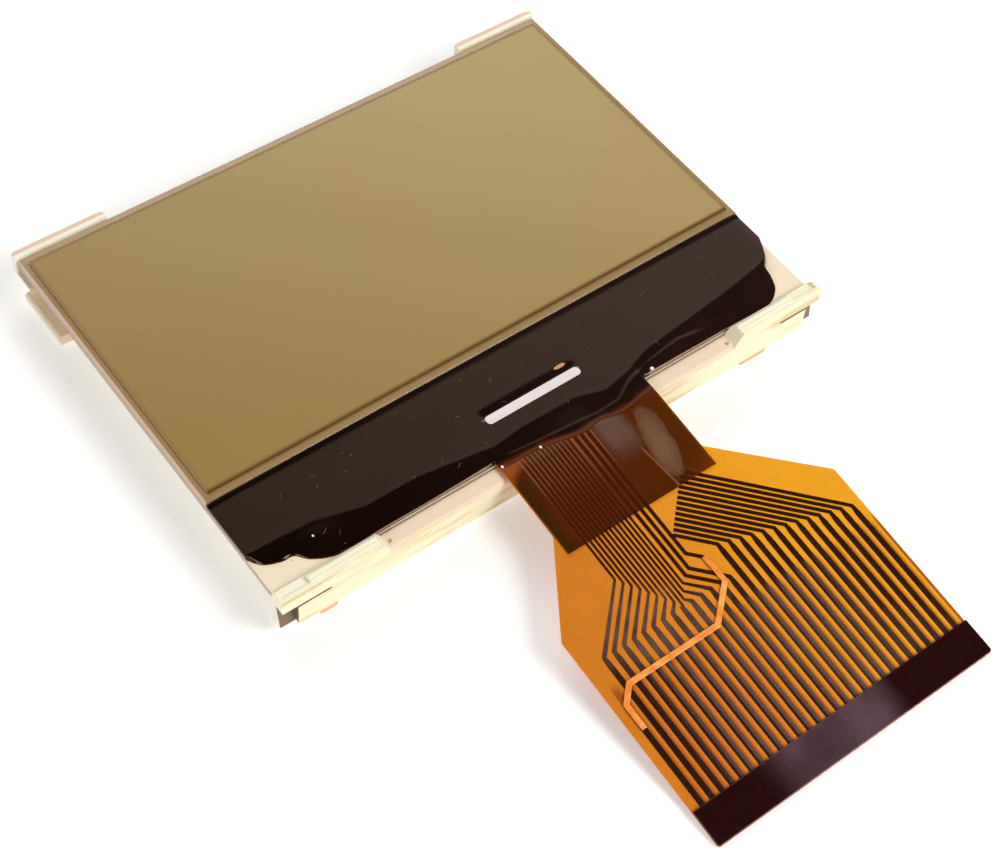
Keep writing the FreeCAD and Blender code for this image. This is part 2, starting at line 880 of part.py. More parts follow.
# Conductive film between the glass ledge and the copper of the tail
def bond_film():
    left = neck_x(0) - bump_film_margin
    right = side_via(side_count - 1)[0] + bump_film_margin
    near = flex_start - bond_length
    return block(left, right, near, flex_start, ledge_top, ledge_top + bump_film_thickness)


def top_height():
    return base_film_thickness + copper_thickness + cover_film_thickness


# Jumper laid over the cover film, from the last neck conductor across to the first contact
def jumper_track():
    x0, start = jumper_start
    x1 = contact_x(0)
    corner = jumper_left_x - x1
    points = [(x0, start), (x0 + jumper_lean, start + jumper_drop), (jumper_corner_x, jumper_cross),
              (jumper_left_x, jumper_cross), (x1, jumper_cross + corner),
              (x1, first_contact_start + contact_width)]
    wire = stroke([(x, tail_y(reach)) for x, reach in points], [jumper_width] * len(points))
    return layer(top_height(), top_height() + jumper_thickness, [wire])


def neck_tape():
    left = neck_tape_offset - neck_tape_width / 2.0
    right = neck_tape_offset + neck_tape_width / 2.0
    far = tail_y(neck_tape_start)
    near = tail_y(neck_tape_end)
    points = [(left, far), (left, near), (right, near), (right, far)]
    radii = [0, neck_tape_corner_radius, neck_tape_corner_radius, 0]
    return layer(top_height(), top_height() + neck_tape_thickness, [rounded_wire(points, radii)])


def end_stiffener():
    left = tail_offset - tail_width / 2.0
    right = tail_offset + tail_width / 2.0
    points = [(left, finger_start), (left, tail_end), (right, tail_end), (right, finger_start)]
    wire = rounded_wire(points, [0, tail_corner_radius, tail_corner_radius, 0])
    return layer(top_height(), top_height() + stiffener_thickness, [wire])


# Edge of the resin over the neck of the tail: share of the neck's width, distance past the front
# wall's face towards the glass
resin_lobes = [(0.0, 0.95), (0.09, 0.88), (0.23, 0.85), (0.34, 0.55), (0.5, 0.0), (0.62, 0.25), (0.77, -0.15),
               (0.94, 0.2), (1.0, 0.3)]


# Edge of the resin in plan, from the left end of the ledge round its near side to the right end
def resin_outline():
    near = ledge_near + resin_near_setback
    left = [(-glass_half, glass_near - 5.8), (-glass_half + 0.8, glass_near - 6.9),
            (-glass_half + 2.2, glass_near - 7.5), (-glass_half + 3.3, glass_near - 7.6),
            (-glass_half + 4.1, glass_near - 8.5), (-glass_half + 6.5, near)]
    right = [(glass_half - 4.4, near), (glass_half - 2.8, glass_near - 8.7),
             (glass_half - 2.0, glass_near - 7.4), (glass_half - 1.7, glass_near - 6.2),
             (glass_half - 0.9, glass_near - 5.2), (glass_half, glass_near - 3.5)]
    lobe_left = neck_offset - neck_width / 2.0 + resin_lobe_inset
    lobe_width = neck_width - 2.0 * resin_lobe_inset
    waves = [(lobe_left + share * lobe_width, frame_near + reach) for share, reach in resin_lobes]
    neck_ends = [(lobe_left, near), (lobe_left + lobe_width, near)]
    far_left = (-glass_half, glass_near)
    far_right = (glass_half, glass_near)
    edges = [curve(left), line(left[-1], neck_ends[0]), line(neck_ends[0], waves[0]), curve(waves),
             line(waves[-1], neck_ends[1]), line(neck_ends[1], right[0]), curve(right),
             line(right[-1], far_right), line(far_right, far_left), line(far_left, left[0])]
    return Part.Wire(Part.__sortEdges__(edges))


def curve(points):
    spline = Part.BSplineCurve()
    spline.interpolate([vec(x, y, 0) for x, y in points])
    return spline.toShape()


def line(a, b):
    return Part.LineSegment(vec(a[0], a[1], 0), vec(b[0], b[1], 0)).toShape()


# Resin seen from its end: it climbs the front glass and thins out towards the near edge
def resin_across():
    floor = 0.0
    low_edge = resin_near_edge - resin_edge_fall
    lobe_end = frame_near - resin_lobe_overhang
    tops = [(glass_near, resin_at_glass), (resin_ridge_y, resin_crown + resin_dip),
            (resin_flat_y, resin_crown), (chip_y, resin_over_chip),
            (resin_slope_y, resin_over_chip - resin_dip),
            (resin_edge_y, resin_near_edge + resin_dip), (wall_inner, resin_near_edge), (lobe_end, low_edge)]
    spline = Part.BSplineCurve()
    spline.interpolate([vec(0, y, ledge_top + z) for y, z in tops])
    start = vec(0, glass_near, ledge_top + resin_at_glass)
    end = vec(0, tops[-1][0], ledge_top + tops[-1][1])
    low_start = vec(0, glass_near, floor)
    low_end = vec(0, tops[-1][0], floor)
    edges = [spline.toShape(), Part.LineSegment(end, low_end).toShape(),
             Part.LineSegment(low_end, low_start).toShape(), Part.LineSegment(low_start, start).toShape()]
    face = Part.Face(Part.Wire(Part.__sortEdges__(edges)))
    face.translate(vec(-span / 2.0, 0, 0))
    return face.extrude(vec(span, 0, 0))


# Resin seen from the front: level, with rounded shoulders at both ends
def resin_along():
    level = ledge_top + resin_at_glass + resin_rise
    low = ledge_top + resin_end_height
    far = glass_near + overreach
    start = vec(-glass_half, far, low)
    rise = vec(-glass_half + resin_shoulder / 3.0, far, low + (level - low) * resin_shoulder_share)
    top = vec(-glass_half + resin_shoulder, far, level)
    spline = Part.BSplineCurve()
    spline.interpolate([start, rise, top])
    base = vec(-glass_half, far, 0)
    middle_top = vec(0, far, level)
    middle_base = vec(0, far, 0)
    edges = [Part.LineSegment(base, start).toShape(), spline.toShape(),
             Part.LineSegment(top, middle_top).toShape(), Part.LineSegment(middle_top, middle_base).toShape(),
             Part.LineSegment(middle_base, base).toShape()]
    half = Part.Face(Part.Wire(Part.__sortEdges__(edges))).extrude(vec(0, frame_near - far - overreach, 0))
    return joined([half, mirrored(half)])


# Slot with round ends over the chip, where the resin leaves the chip's back bare
def chip_window():
    half_x = window_length / 2.0
    half_y = window_width / 2.0
    bottom = ledge_top + bump_film_thickness + chip_height
    return plate(chip_offset - half_x, chip_offset + half_x, chip_y - half_y, chip_y + half_y, bottom,
                 above_all, half_y - edge_gap)


def ledge_resin():
    near_half = block(-glass_half, glass_half, ledge_near, glass_near, ledge_top, above_all)
    lobe_room = block(neck_offset - neck_width / 2.0, neck_offset + neck_width / 2.0,
                      frame_near - resin_lobe_overhang, ledge_near, ledge_top, above_all)
    body = upright(resin_outline(), ledge_top, above_all)
    body = body.common(joined([near_half, lobe_room])).common(resin_across()).common(resin_along())
    pool = body.cut([chip_window(), driver_chip(), chip_film(), bond_film(), tail_stack(), neck_tape()])
    return max(pool.Solids, key=lambda solid: solid.Volume)


# Tail layers on the ledge as one solid, for what covers them
def tail_stack():
    outline = tail_outline(0.0, flex_start, tail_end)
    return layer(-copper_thickness - bump_film_thickness, top_height(), [outline])


parts = {
    "backlight_frame": backlight_frame,
    "reflector_sheet": lambda: pocket_sheet(floor_top, guide_bottom),
    "light_guide": light_guide,
    "diffuser_sheet": lambda: pocket_sheet(diffuser_bottom, shelf_top),
    "led_board": led_board,
    "led_packages": led_packages,
    "led_lenses": led_lenses,
    "backlight_pads": backlight_pads,
    "cell_tape": cell_tape,
    "rear_polarizer": rear_polarizer,
    "rear_glass": rear_glass,
    "cell_seal": cell_seal,
    "liquid_crystal": liquid_crystal,
    "port_plug": port_plug,
    "front_glass": front_glass,
    "front_polarizer": front_polarizer,
    "chip_film": chip_film,
    "driver_chip": driver_chip,
    "ledge_resin": ledge_resin,
    "bond_film": bond_film,
    "flex_base_film": flex_base_film,
    "front_tracks": front_tracks,
    "rear_tracks": rear_tracks,
    "through_vias": through_vias,
    "contact_fingers": contact_fingers,
    "front_cover_film": front_cover_film,
    "rear_cover_film": rear_cover_film,
    "jumper_track": jumper_track,
    "neck_tape": neck_tape,
    "end_stiffener": end_stiffener,
}

os.makedirs("parts", exist_ok=True)
for name, make in parts.items():
    shape = make()
    shape.exportStep(os.path.join("parts", name + ".step"))
    print(name, "solids", len(shape.Solids), "valid", shape.isValid(), "volume", round(shape.Volume, 2))
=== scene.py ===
import math
import random
import bmesh
import bpy
import numpy as np
from mathutils import Euler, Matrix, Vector, noise
from mathutils.bvhtree import BVHTree


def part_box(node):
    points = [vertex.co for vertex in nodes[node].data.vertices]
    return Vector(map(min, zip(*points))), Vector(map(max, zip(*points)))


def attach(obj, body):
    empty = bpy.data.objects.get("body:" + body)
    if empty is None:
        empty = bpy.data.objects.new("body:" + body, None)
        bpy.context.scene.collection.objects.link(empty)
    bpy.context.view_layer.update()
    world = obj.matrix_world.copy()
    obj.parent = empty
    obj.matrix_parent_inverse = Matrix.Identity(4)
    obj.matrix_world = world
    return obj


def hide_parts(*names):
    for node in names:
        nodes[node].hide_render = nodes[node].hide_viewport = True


# A graphic display module on a pale table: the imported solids, dressed with their finishes, and a
# few pieces modelled again where the real surface is rounder or more uneven than the solid.
# Lengths in the dictionaries are millimetres.
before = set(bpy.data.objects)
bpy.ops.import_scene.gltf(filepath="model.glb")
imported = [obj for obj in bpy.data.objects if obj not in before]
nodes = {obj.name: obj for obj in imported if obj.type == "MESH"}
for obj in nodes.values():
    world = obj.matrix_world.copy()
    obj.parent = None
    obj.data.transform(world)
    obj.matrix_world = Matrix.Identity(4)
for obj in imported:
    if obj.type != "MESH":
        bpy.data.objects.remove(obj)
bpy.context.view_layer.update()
mm = 0.001
print("frame loaded:", len(nodes), "nodes")


# Shader building

class Wire:
    # one output socket, with arithmetic that adds Math nodes
    def __init__(self, tree, socket):
        self.tree = tree
        self.socket = socket

    def calc(self, operation, *others, clamp=False):
        settings = {"operation": operation, "use_clamp": clamp}
        node = self.tree.node("ShaderNodeMath", settings, dict(enumerate((self, *others))))
        return Wire(self.tree, node.outputs[0])

    def __add__(self, other):
        return self.calc("ADD", other)

    def __radd__(self, other):
        return self.calc("ADD", other)

    def __sub__(self, other):
        return self.calc("SUBTRACT", other)

    def __rsub__(self, other):
        return self.tree.number(other).calc("SUBTRACT", self)

    def __mul__(self, other):
        return self.calc("MULTIPLY", other)

    def __rmul__(self, other):
        return self.calc("MULTIPLY", other)

    def __truediv__(self, other):
        return self.calc("DIVIDE", other)

    def __rtruediv__(self, other):
        return self.tree.number(other).calc("DIVIDE", self)

    def __gt__(self, other):
        return self.calc("GREATER_THAN", other)

    def __lt__(self, other):
        return self.calc("LESS_THAN", other)

    def clipped(self):
        return self.calc("ADD", 0.0, clamp=True)


class Tree:
    # a node tree under construction, of a material or of the world
    def __init__(self, tree):
        self.tree = tree

    def feed(self, socket, value):
        if isinstance(value, Wire):
            self.tree.links.new(value.socket, socket)
        elif isinstance(value, bpy.types.NodeSocket):
            self.tree.links.new(value, socket)
        elif hasattr(value, "__len__") and socket.type == "RGBA" and len(value) == 3:
            socket.default_value = (*value, 1.0)
        else:
            socket.default_value = value

    def node(self, kind, settings=None, numbered=None, **named):
        # sockets are given by number, or by name with _ for a space
        node = self.tree.nodes.new(kind)
        for name, value in (settings or {}).items():
            if name == "stops":
                ramp = node.color_ramp.elements
                while len(ramp) < len(value):
                    ramp.new(0.5)
                for element, (place, colour) in zip(ramp, value):
                    element.position = place
                    element.color = (*colour, 1.0)
            else:
                setattr(node, name, value)
        for index, value in (numbered or {}).items():
            self.feed(node.inputs[index], value)
        for name, value in named.items():
            self.feed(node.inputs[name.replace("_", " ")], value)
        return node

    def number(self, value):
        node = self.node("ShaderNodeValue")
        node.outputs[0].default_value = value
        return Wire(self, node.outputs[0])

    def axes(self, vector):
        split = self.node("ShaderNodeSeparateXYZ", Vector=vector)
        return [Wire(self, split.outputs[axis]) for axis in "XYZ"]

    def span(self, value, low, high, start=0.0, end=1.0):
        node = self.node("ShaderNodeMapRange", {"interpolation_type": "SMOOTHSTEP"}, Value=value,
                         From_Min=low, From_Max=high, To_Min=start, To_Max=end)
        return Wire(self, node.outputs[0])


class Paint(Tree):
    # a material; surface is its Principled shader
    def __init__(self, name):
        self.material = bpy.data.materials.new(name)
        self.material.use_nodes = True
        super().__init__(self.material.node_tree)
        self.surface = self.tree.nodes["Principled BSDF"]
        self.coords = self.node("ShaderNodeTexCoord").outputs["Object"]

    def place(self):
        return self.axes(self.coords)

    def stretched(self, *scale):
        return self.node("ShaderNodeMapping", Vector=self.coords, Scale=scale).outputs[0]

    def noise(self, size, detail=3.0, rough=0.55, vector=None):
        # size is the width of a grain
        node = self.node("ShaderNodeTexNoise", Vector=vector or self.coords, Scale=1.0 / (size * mm),
                         Detail=detail, Roughness=rough)
        return Wire(self, node.outputs["Fac"])

    def ramp(self, value, *stops):
        return self.node("ShaderNodeValToRGB", {"stops": stops}, Fac=value).outputs["Color"]

    def tone(self):
        # the number that the mesh carries as tone
        return Wire(self, self.node("ShaderNodeAttribute", {"attribute_name": "tone"}).outputs["Fac"])

    def blend(self, factor, first, second):
        mix = self.node("ShaderNodeMix", {"data_type": "RGBA"}, {0: factor, 6: first, 7: second})
        return mix.outputs[2]

    def bump(self, height, depth):
        # depth is the height of the relief
        node = self.node("ShaderNodeBump", Height=height, Distance=depth * mm, Strength=1.0)
        self.set(Normal=node.outputs[0])

    def set(self, **inputs):
        for name, value in inputs.items():
            self.feed(self.surface.inputs[name.replace("_", " ")], value)


def srgb(red, green, blue):
    # screen colour, 0 to 255, as linear light
    return tuple(((c / 255 + 0.055) / 1.055) ** 2.4 if c > 10 else c / 3294.6 for c in (red, green, blue))


# Finishes

def framePlastic():
    # tone -1 is the yellower near face, 0 the cream, 0.5 a peach painted shade on faces in shade, 1 a tan
    # painted shadow in recesses
    look = {"bright": srgb(254, 250, 228), "cream": srgb(253, 244, 212), "shadePeach": srgb(244, 210, 182),
            "foot": srgb(236, 176, 122), "tan": srgb(126, 100, 78), "near": srgb(252, 242, 204),
            "streak": srgb(226, 202, 148), "footTop": 1.0, "rough": 0.29, "cloudSize": 5.0,
            "streakSize": 1.6, "grain": 0.3, "glowShare": 0.2, "glowColour": (1.0, 0.75, 0.45),
            "glowDepth": 0.8}
    paint = Paint("framePlastic")
    x, y, z = paint.place()
    cloud = paint.noise(look["cloudSize"])
    fine = paint.noise(look["grain"], 4.0)
    body = paint.blend(paint.span(cloud, 0.35, 0.65), look["cream"], look["bright"])
    streak = paint.noise(look["streakSize"], 4.0, 0.6, paint.stretched(0.12, 1.0, 1.0))
    near = paint.blend(paint.span(streak, 0.45, 0.62), look["near"], look["streak"])
    tone = paint.tone()
    body = paint.blend(paint.span(tone, -1.0, 0.0), near, body)
    # painted shade: orange on the feet below footTop, for their set-back faces in shadow
    body = paint.blend(z < look["footTop"] * mm, body, look["foot"])
    tone = tone + (cloud - 0.5) * 0.12
    # painted shade: peach where tone nears 0.5, and a tan painted shadow where it nears 1
    warm = paint.blend(paint.span(tone, 0.1, 0.5), body, look["shadePeach"])
    colour = paint.blend(paint.span(tone, 0.6, 0.95), warm, look["tan"])
    paint.set(Base_Color=colour, Roughness=fine * 0.14 + look["rough"], Subsurface_Weight=look["glowShare"],
              Subsurface_Radius=look["glowColour"], Subsurface_Scale=look["glowDepth"] * mm)
    paint.bump(fine, 0.01)
    return paint.material


def polarizerFilm():
    # painted reflection: lighter towards the far right; tone is 1 on the cut sides, which are painted paler
    # as painted light
    look = {"bright": srgb(184, 161, 106), "middle": srgb(169, 145, 92), "dark": srgb(155, 127, 68),
            "pink": srgb(174, 139, 98), "rim": srgb(146, 114, 68), "nearRim": srgb(104, 72, 20),
            "side": srgb(220, 182, 136), "rimWidth": 0.45, "heading": (0.7, 0.65), "mottleSize": 8.0,
            "grain": 0.12, "gloss": 0.15}
    low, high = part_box("front_polarizer")
    paint = Paint("polarizerFilm")
    x, y, z = paint.place()
    right, far = look["heading"]
    across = paint.span(x * right + y * far, low.x * right + low.y * far, high.x * right + high.y * far)
    mottle = paint.noise(look["mottleSize"], vector=paint.stretched(1.0, 0.4, 1.0))
    fine = paint.noise(look["grain"], 2.0)
    # painted reflection: the ramp lightens the film towards the far right
    body = paint.ramp(across, (0.0, look["dark"]), (0.5, look["middle"]), (1.0, look["bright"]))
    body = paint.blend(paint.span(mottle, 0.4, 0.8, 0.0, 0.22), body, look["pink"])
    rim = look["rimWidth"] * mm
    inside = paint.span(x, low.x, low.x + rim) * paint.span(high.x - x, 0.0, rim)
    inside = inside * paint.span(high.y - y, 0.0, rim)
    body = paint.blend(inside, look["rim"], body)
    colour = paint.blend(paint.span(y, low.y, low.y + rim), look["nearRim"], body)
    # painted light: the cut sides in the paler side colour
    colour = paint.blend(paint.tone(), colour, look["side"])
    paint.set(Base_Color=colour, Roughness=fine * 0.1 + 0.32, Specular_IOR_Level=look["gloss"])
    paint.bump(fine, 0.004)
    return paint.material


def paneGlass(name, node, look):
    # clear over its faces, solid-looking at its ground edges where tone is 1, and dark at the
    # resin where tone is 0.5
    low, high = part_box(node)
    paint = Paint(name)
    x, y, z = paint.place()
    haze = paint.noise(3.0)
    grind = paint.noise(0.4, 4.0, vector=paint.stretched(1.0, 1.0, 3.0))
    edge = paint.tone()
    rise = paint.span(z, low.z, high.z) + (grind - 0.5) * 0.5
    side = paint.blend(paint.span(rise, 0.1, 0.6), look["low"], look["high"])
    side = paint.blend((edge > 0.4) * (edge < 0.6), side, look["wet"])
    face = paint.blend(haze, look["face"], look["cloud"])
    paint.set(Base_Color=paint.blend(edge, face, side), Roughness=edge * 0.25 + 0.06 + grind * 0.06,
              Alpha=paint.span(edge, 0.0, 1.0, look["alpha"], 0.96))
    return paint.material


def plainFinish(name, light, dark, grain, rough=0.5, metal=0.0, coat=0.0):
    # two-tone finish with a fine grain, for pieces that show only at an edge or through glass
    paint = Paint(name)
    cloud = paint.noise(grain)
    paint.set(Base_Color=paint.blend(cloud, srgb(*dark), srgb(*light)), Metallic=metal,
              Roughness=cloud * 0.15 + (rough - 0.07), Coat_Weight=coat)
    paint.bump(paint.noise(grain * 0.3, 2.0), 0.01)
    return paint.material


def resinGloss():
    # darker at the left, with a painted reflection lighter towards the right; tone is 1 where it thins out
    # to brown
    look = {"left": srgb(12, 4, 2), "right": srgb(36, 17, 14), "dust": srgb(96, 76, 68),
            "thin": srgb(86, 38, 10), "rough": 0.07, "glint": (1.0, 0.58, 0.38, 1.0), "flowSize": 4.0,
            "grain": 0.2, "dustSize": 0.13, "coat": 0.2}
    low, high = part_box("ledge_resin")
    paint = Paint("resinGloss")
    x, y, z = paint.place()
    flow = paint.noise(look["flowSize"], vector=paint.stretched(0.5, 1.0, 1.0))
    grain = paint.noise(look["grain"], 4.0, 0.7)
    dust = paint.span(paint.noise(look["dustSize"], 5.0, 0.75), 0.72, 0.78)
    share = paint.span(x, low.x, high.x * 0.7) * 0.8 + (flow - 0.4) * 0.5
    # painted reflection: the resin is lighter towards the right
    colour = paint.blend(share.clipped(), look["left"], look["right"])
    colour = paint.blend(paint.tone(), colour, look["thin"])
    paint.set(Base_Color=paint.blend(dust * 0.5, colour, look["dust"]), Specular_Tint=look["glint"],
              Roughness=grain * 0.08 + dust * 0.3 + look["rough"],
              Coat_Weight=paint.span(x, low.x, high.x, 0.0, look["coat"]))
    paint.bump(grain, 0.002)
    return paint.material


def dustAndGlintPale():
    # tone is 1 on the bright droplets, which are painted white as highlights
    look = {"fibre": srgb(116, 96, 86), "grain": srgb(88, 70, 62), "drop": srgb(255, 250, 246)}
    paint = Paint("dustAndGlintPale")
    cloud = paint.noise(0.3)
    colour = paint.blend(cloud, look["grain"], look["fibre"])
    paint.set(Base_Color=paint.blend(paint.tone(), colour, look["drop"]), Roughness=cloud * 0.1 + 0.35)
    return paint.material


def chipSiliconReflection():
    # painted reflection: the bare silicon back is coloured pinkish white for the light that it mirrors
    look = {"bright": srgb(252, 240, 240), "grey": srgb(232, 214, 216)}
    paint = Paint("chipSiliconReflection")
    grain = paint.noise(1.2, 2.0, vector=paint.stretched(0.15, 1.0, 1.0))
    paint.set(Base_Color=paint.blend(grain, look["grey"], look["bright"]), Roughness=grain * 0.1 + 0.2)
    paint.bump(grain, 0.004)
    return paint.material


def alongTracks(paint, x, y):
    # share of the pitch from each conductor's left side, and 1 where the conductors run straight
    look = {"pitch": 1.0, "bent": -23.1, "straight": -24.6}
    share = ((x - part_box("front_tracks")[0].x) / (look["pitch"] * mm)).calc("FRACT")
    return share, paint.span(y, look["bent"] * mm, look["straight"] * mm)


def amberFilm(name="amberFilm", alpha=1.0):
    # browner along the right side of each straight conductor, a painted shade of its relief
    look = {"bright": srgb(255, 176, 36), "middle": srgb(238, 146, 38), "deep": srgb(216, 124, 34),
            "patch": srgb(228, 160, 72), "laneShade": srgb(166, 74, 22), "glint": (1.0, 0.78, 0.5, 1.0),
            "cloudSize": 4.0, "patchSize": 2.5, "grain": 0.4}
    low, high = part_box("flex_base_film")
    paint = Paint(name)
    x, y, z = paint.place()
    cloud = paint.noise(look["cloudSize"])
    fine = paint.noise(look["grain"])
    share = paint.span(x, low.x, high.x) * 0.7 + cloud * 0.35 + 0.1
    colour = paint.ramp(share, (0.15, look["deep"]), (0.5, look["middle"]), (0.9, look["bright"]))
    patches = paint.span(paint.noise(look["patchSize"]), 0.62, 0.78, 0.0, 0.35)
    colour = paint.blend(patches, colour, look["patch"])
    turn, straight = alongTracks(paint, x, y)
    # painted shade beside each straight conductor
    laneShade = paint.span(turn, 0.5, 0.9, 0.85, 0.0) * straight
    colour = paint.blend(laneShade * (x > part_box("front_tracks")[0].x), colour, look["laneShade"])
    paint.set(Base_Color=colour, Roughness=fine * 0.12 + 0.2, Coat_Weight=0.3, Specular_Tint=look["glint"])
    if alpha < 1.0:
        paint.set(Alpha=fine * 0.04 + alpha)
    paint.bump(cloud * 0.6 + fine * 0.08, 0.04)
    return paint.material


def coverGloss():
    look = {"tint": srgb(130, 64, 18), "pale": srgb(160, 90, 36), "alpha": 0.02}
    paint = Paint("coverGloss")
    cloud = paint.noise(3.0)
    fine = paint.noise(0.3)
    paint.set(Base_Color=paint.blend(cloud, look["pale"], look["tint"]), Roughness=fine * 0.1 + 0.12,
              Alpha=cloud * 0.03 + look["alpha"])
    paint.bump(cloud * 0.5 + fine * 0.08, 0.03)
    return paint.material


def trackCopper():
    # a purplish sheen, a painted reflection, lies across the tracks; where they run straight, each has a
    # dark left side and a greyer right side, a painted highlight
    look = {"dark": srgb(26, 6, 1), "warm": srgb(48, 18, 8), "sheen": srgb(104, 82, 78),
            "flankHighlight": srgb(112, 92, 88), "sheenAt": (-2.0, -24.0), "sheenReach": (1.0, 8.0),
            "flankLeft": (-9.0, -5.0), "flankRight": (8.0, 13.0), "glint": (1.0, 0.6, 0.4, 1.0),
            "cloudSize": 1.6, "grain": 0.2}
    paint = Paint("trackCopper")
    x, y, z = paint.place()
    cloud = paint.noise(look["cloudSize"], 4.0)
    fine = paint.noise(look["grain"])
    sheenX, sheenY = (at * mm for at in look["sheenAt"])
    away = ((x - sheenX) * 0.6 + (y - sheenY) * 0.8).calc("ABSOLUTE")
    core, rim = (reach * mm for reach in look["sheenReach"])
    share = paint.span(away, core, rim, 0.75, 0.0) + (cloud - 0.5) * 0.9
    colour = paint.ramp(share, (0.0, look["dark"]), (0.4, look["warm"]), (0.95, look["sheen"]))
    turn, straight = alongTracks(paint, x, y)
    leftStart, leftEnd = (at * mm for at in look["flankLeft"])
    rightStart, rightEnd = (at * mm for at in look["flankRight"])
    # painted highlight on the right side of each straight track
    flankHighlight = paint.span(turn, 0.16, 0.28) * straight
    flankHighlight = flankHighlight * paint.span(x, leftStart, leftEnd) * paint.span(x, rightStart, rightEnd, 1.0, 0.0)
    # the painted reflection gives way to dark where the tracks run straight
    colour = paint.blend(straight * 0.7, colour, look["dark"])
    colour = paint.blend(flankHighlight * (cloud * 0.5 + 0.35), colour, look["flankHighlight"])
    paint.set(Base_Color=colour, Roughness=fine * 0.2 + 0.22, Specular_Tint=look["glint"])
    paint.bump(fine, 0.008)
    return paint.material


def jumperOrange():
    look = {"bright": srgb(255, 178, 88), "deep": srgb(250, 138, 48)}
    paint = Paint("jumperOrange")
    cloud = paint.span(paint.noise(1.1), 0.3, 0.7)
    paint.set(Base_Color=paint.blend(cloud, look["deep"], look["bright"]), Roughness=cloud * 0.12 + 0.26,
              Coat_Weight=0.4)
    paint.bump(cloud, 0.015)
    return paint.material


def neckTapeFilm():
    # tone is 1 on the flanks of the conductors that press through the tape, painted lighter as a
    # highlight. Lengths run from the tape's left, right, near or far side, as their names say
    look = {"brown": srgb(76, 25, 1), "red": srgb(118, 42, 3), "start": srgb(158, 74, 20),
            "olive": srgb(40, 23, 3), "line": srgb(146, 98, 62), "sheen": srgb(104, 81, 70),
            "lens": srgb(119, 90, 73), "alpha": 0.79, "glint": (1.0, 0.6, 0.36, 1.0), "cloudSize": 5.0,
            "waveSize": 1.4, "grain": 0.4, "borderLeft": 1.8, "borderNear": 1.0, "redReach": 2.6,
            "startFar": 1.0, "startReach": (0.7, 2.0), "sheenLeft": (8.2, 9.6), "sheenRight": (3.4, 4.6),
            "sheenNear": (3.6, 6.6), "lensRight": 2.8, "lensNear": 4.2, "lensLean": 0.15,
            "lensHalf": (1.35, 3.4), "creaseRight": 3.95, "creaseLean": 0.12, "creaseHalf": (0.05, 0.16),
            "creaseFar": (5.8, 4.6), "reliefNear": 3.0, "reliefFar": 2.0}
    low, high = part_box("neck_tape")
    paint = Paint("neckTapeFilm")
    x, y, z = paint.place()
    cloud = paint.noise(look["cloudSize"], 2.0)
    fine = paint.noise(look["grain"])
    border = paint.span(x, low.x, low.x + look["borderLeft"] * mm)
    border = border * paint.span(y, low.y, low.y + look["borderNear"] * mm, 0.65, 1.0)
    colour = paint.blend(border, look["olive"], look["brown"])
    corner = high.x * 0.6 - low.y
    red = paint.span(x * 0.6 - y, corner - look["redReach"] * mm, corner)
    colour = paint.blend(red * 0.8, colour, look["red"])
    start = (x - low.x) * 0.8 + (high.y - look["startFar"] * mm - y)
    core, rim = (reach * mm for reach in look["startReach"])
    colour = paint.blend(paint.span(start, core, rim, 0.9, 0.0), colour, look["start"])
    # painted glare in the middle, a sharper lens of it at the right, and a painted highlight along a crease
    # beside the lens
    dark, lit = (reach * mm for reach in look["sheenLeft"])
    sheen = paint.span(x, low.x + dark, low.x + lit)
    dark, lit = (reach * mm for reach in look["sheenRight"])
    sheen = sheen * paint.span(high.x - x, dark, lit)
    dark, lit = (reach * mm for reach in look["sheenNear"])
    sheen = sheen * paint.span(y, low.y + dark, low.y + lit)
    colour = paint.blend(sheen * paint.span(cloud, 0.2, 0.7, 0.35, 0.95), colour, look["sheen"])
    halfWidth, halfLength = (half * mm for half in look["lensHalf"])
    along = y - (low.y + look["lensNear"] * mm)
    across = (x - (high.x - look["lensRight"] * mm) - along * look["lensLean"]) / halfWidth
    along = along / halfLength
    waves = paint.noise(look["waveSize"], 2.0, vector=paint.stretched(1.0, 0.5, 1.0))
    edge = across * across + along * along * 0.9 + (waves - 0.5) * 1.2
    lens = paint.span(edge, -0.1, 1.1, 0.62, 0.0) + paint.span(edge, 0.84, 1.02, 0.38, 0.0)
    colour = paint.blend(lens, colour, look["lens"])
    creaseHighlight = (x - (high.x - look["creaseRight"] * mm) + (y - low.y) * look["creaseLean"]).calc("ABSOLUTE")
    core, rim = (half * mm for half in look["creaseHalf"])
    full, none = (reach * mm for reach in look["creaseFar"])
    creaseHighlight = paint.span(creaseHighlight, core, rim, 0.6, 0.0) * paint.span(y, high.y - full, high.y - none, 1.0, 0.0)
    colour = paint.blend(creaseHighlight, colour, look["line"])
    upper = paint.span(y, low.y + look["reliefNear"] * mm, high.y - look["reliefFar"] * mm, 0.05, 0.8)
    # painted highlight: lighter lines on the flanks, most near the resin
    colour = paint.blend(paint.tone() * upper, colour, look["line"])
    paint.set(Base_Color=colour, Roughness=fine * 0.1 + 0.14, Alpha=cloud * 0.06 + look["alpha"],
              Specular_Tint=look["glint"])
    paint.bump(cloud * 0.5 + fine * 0.04, 0.03)
    return paint.material


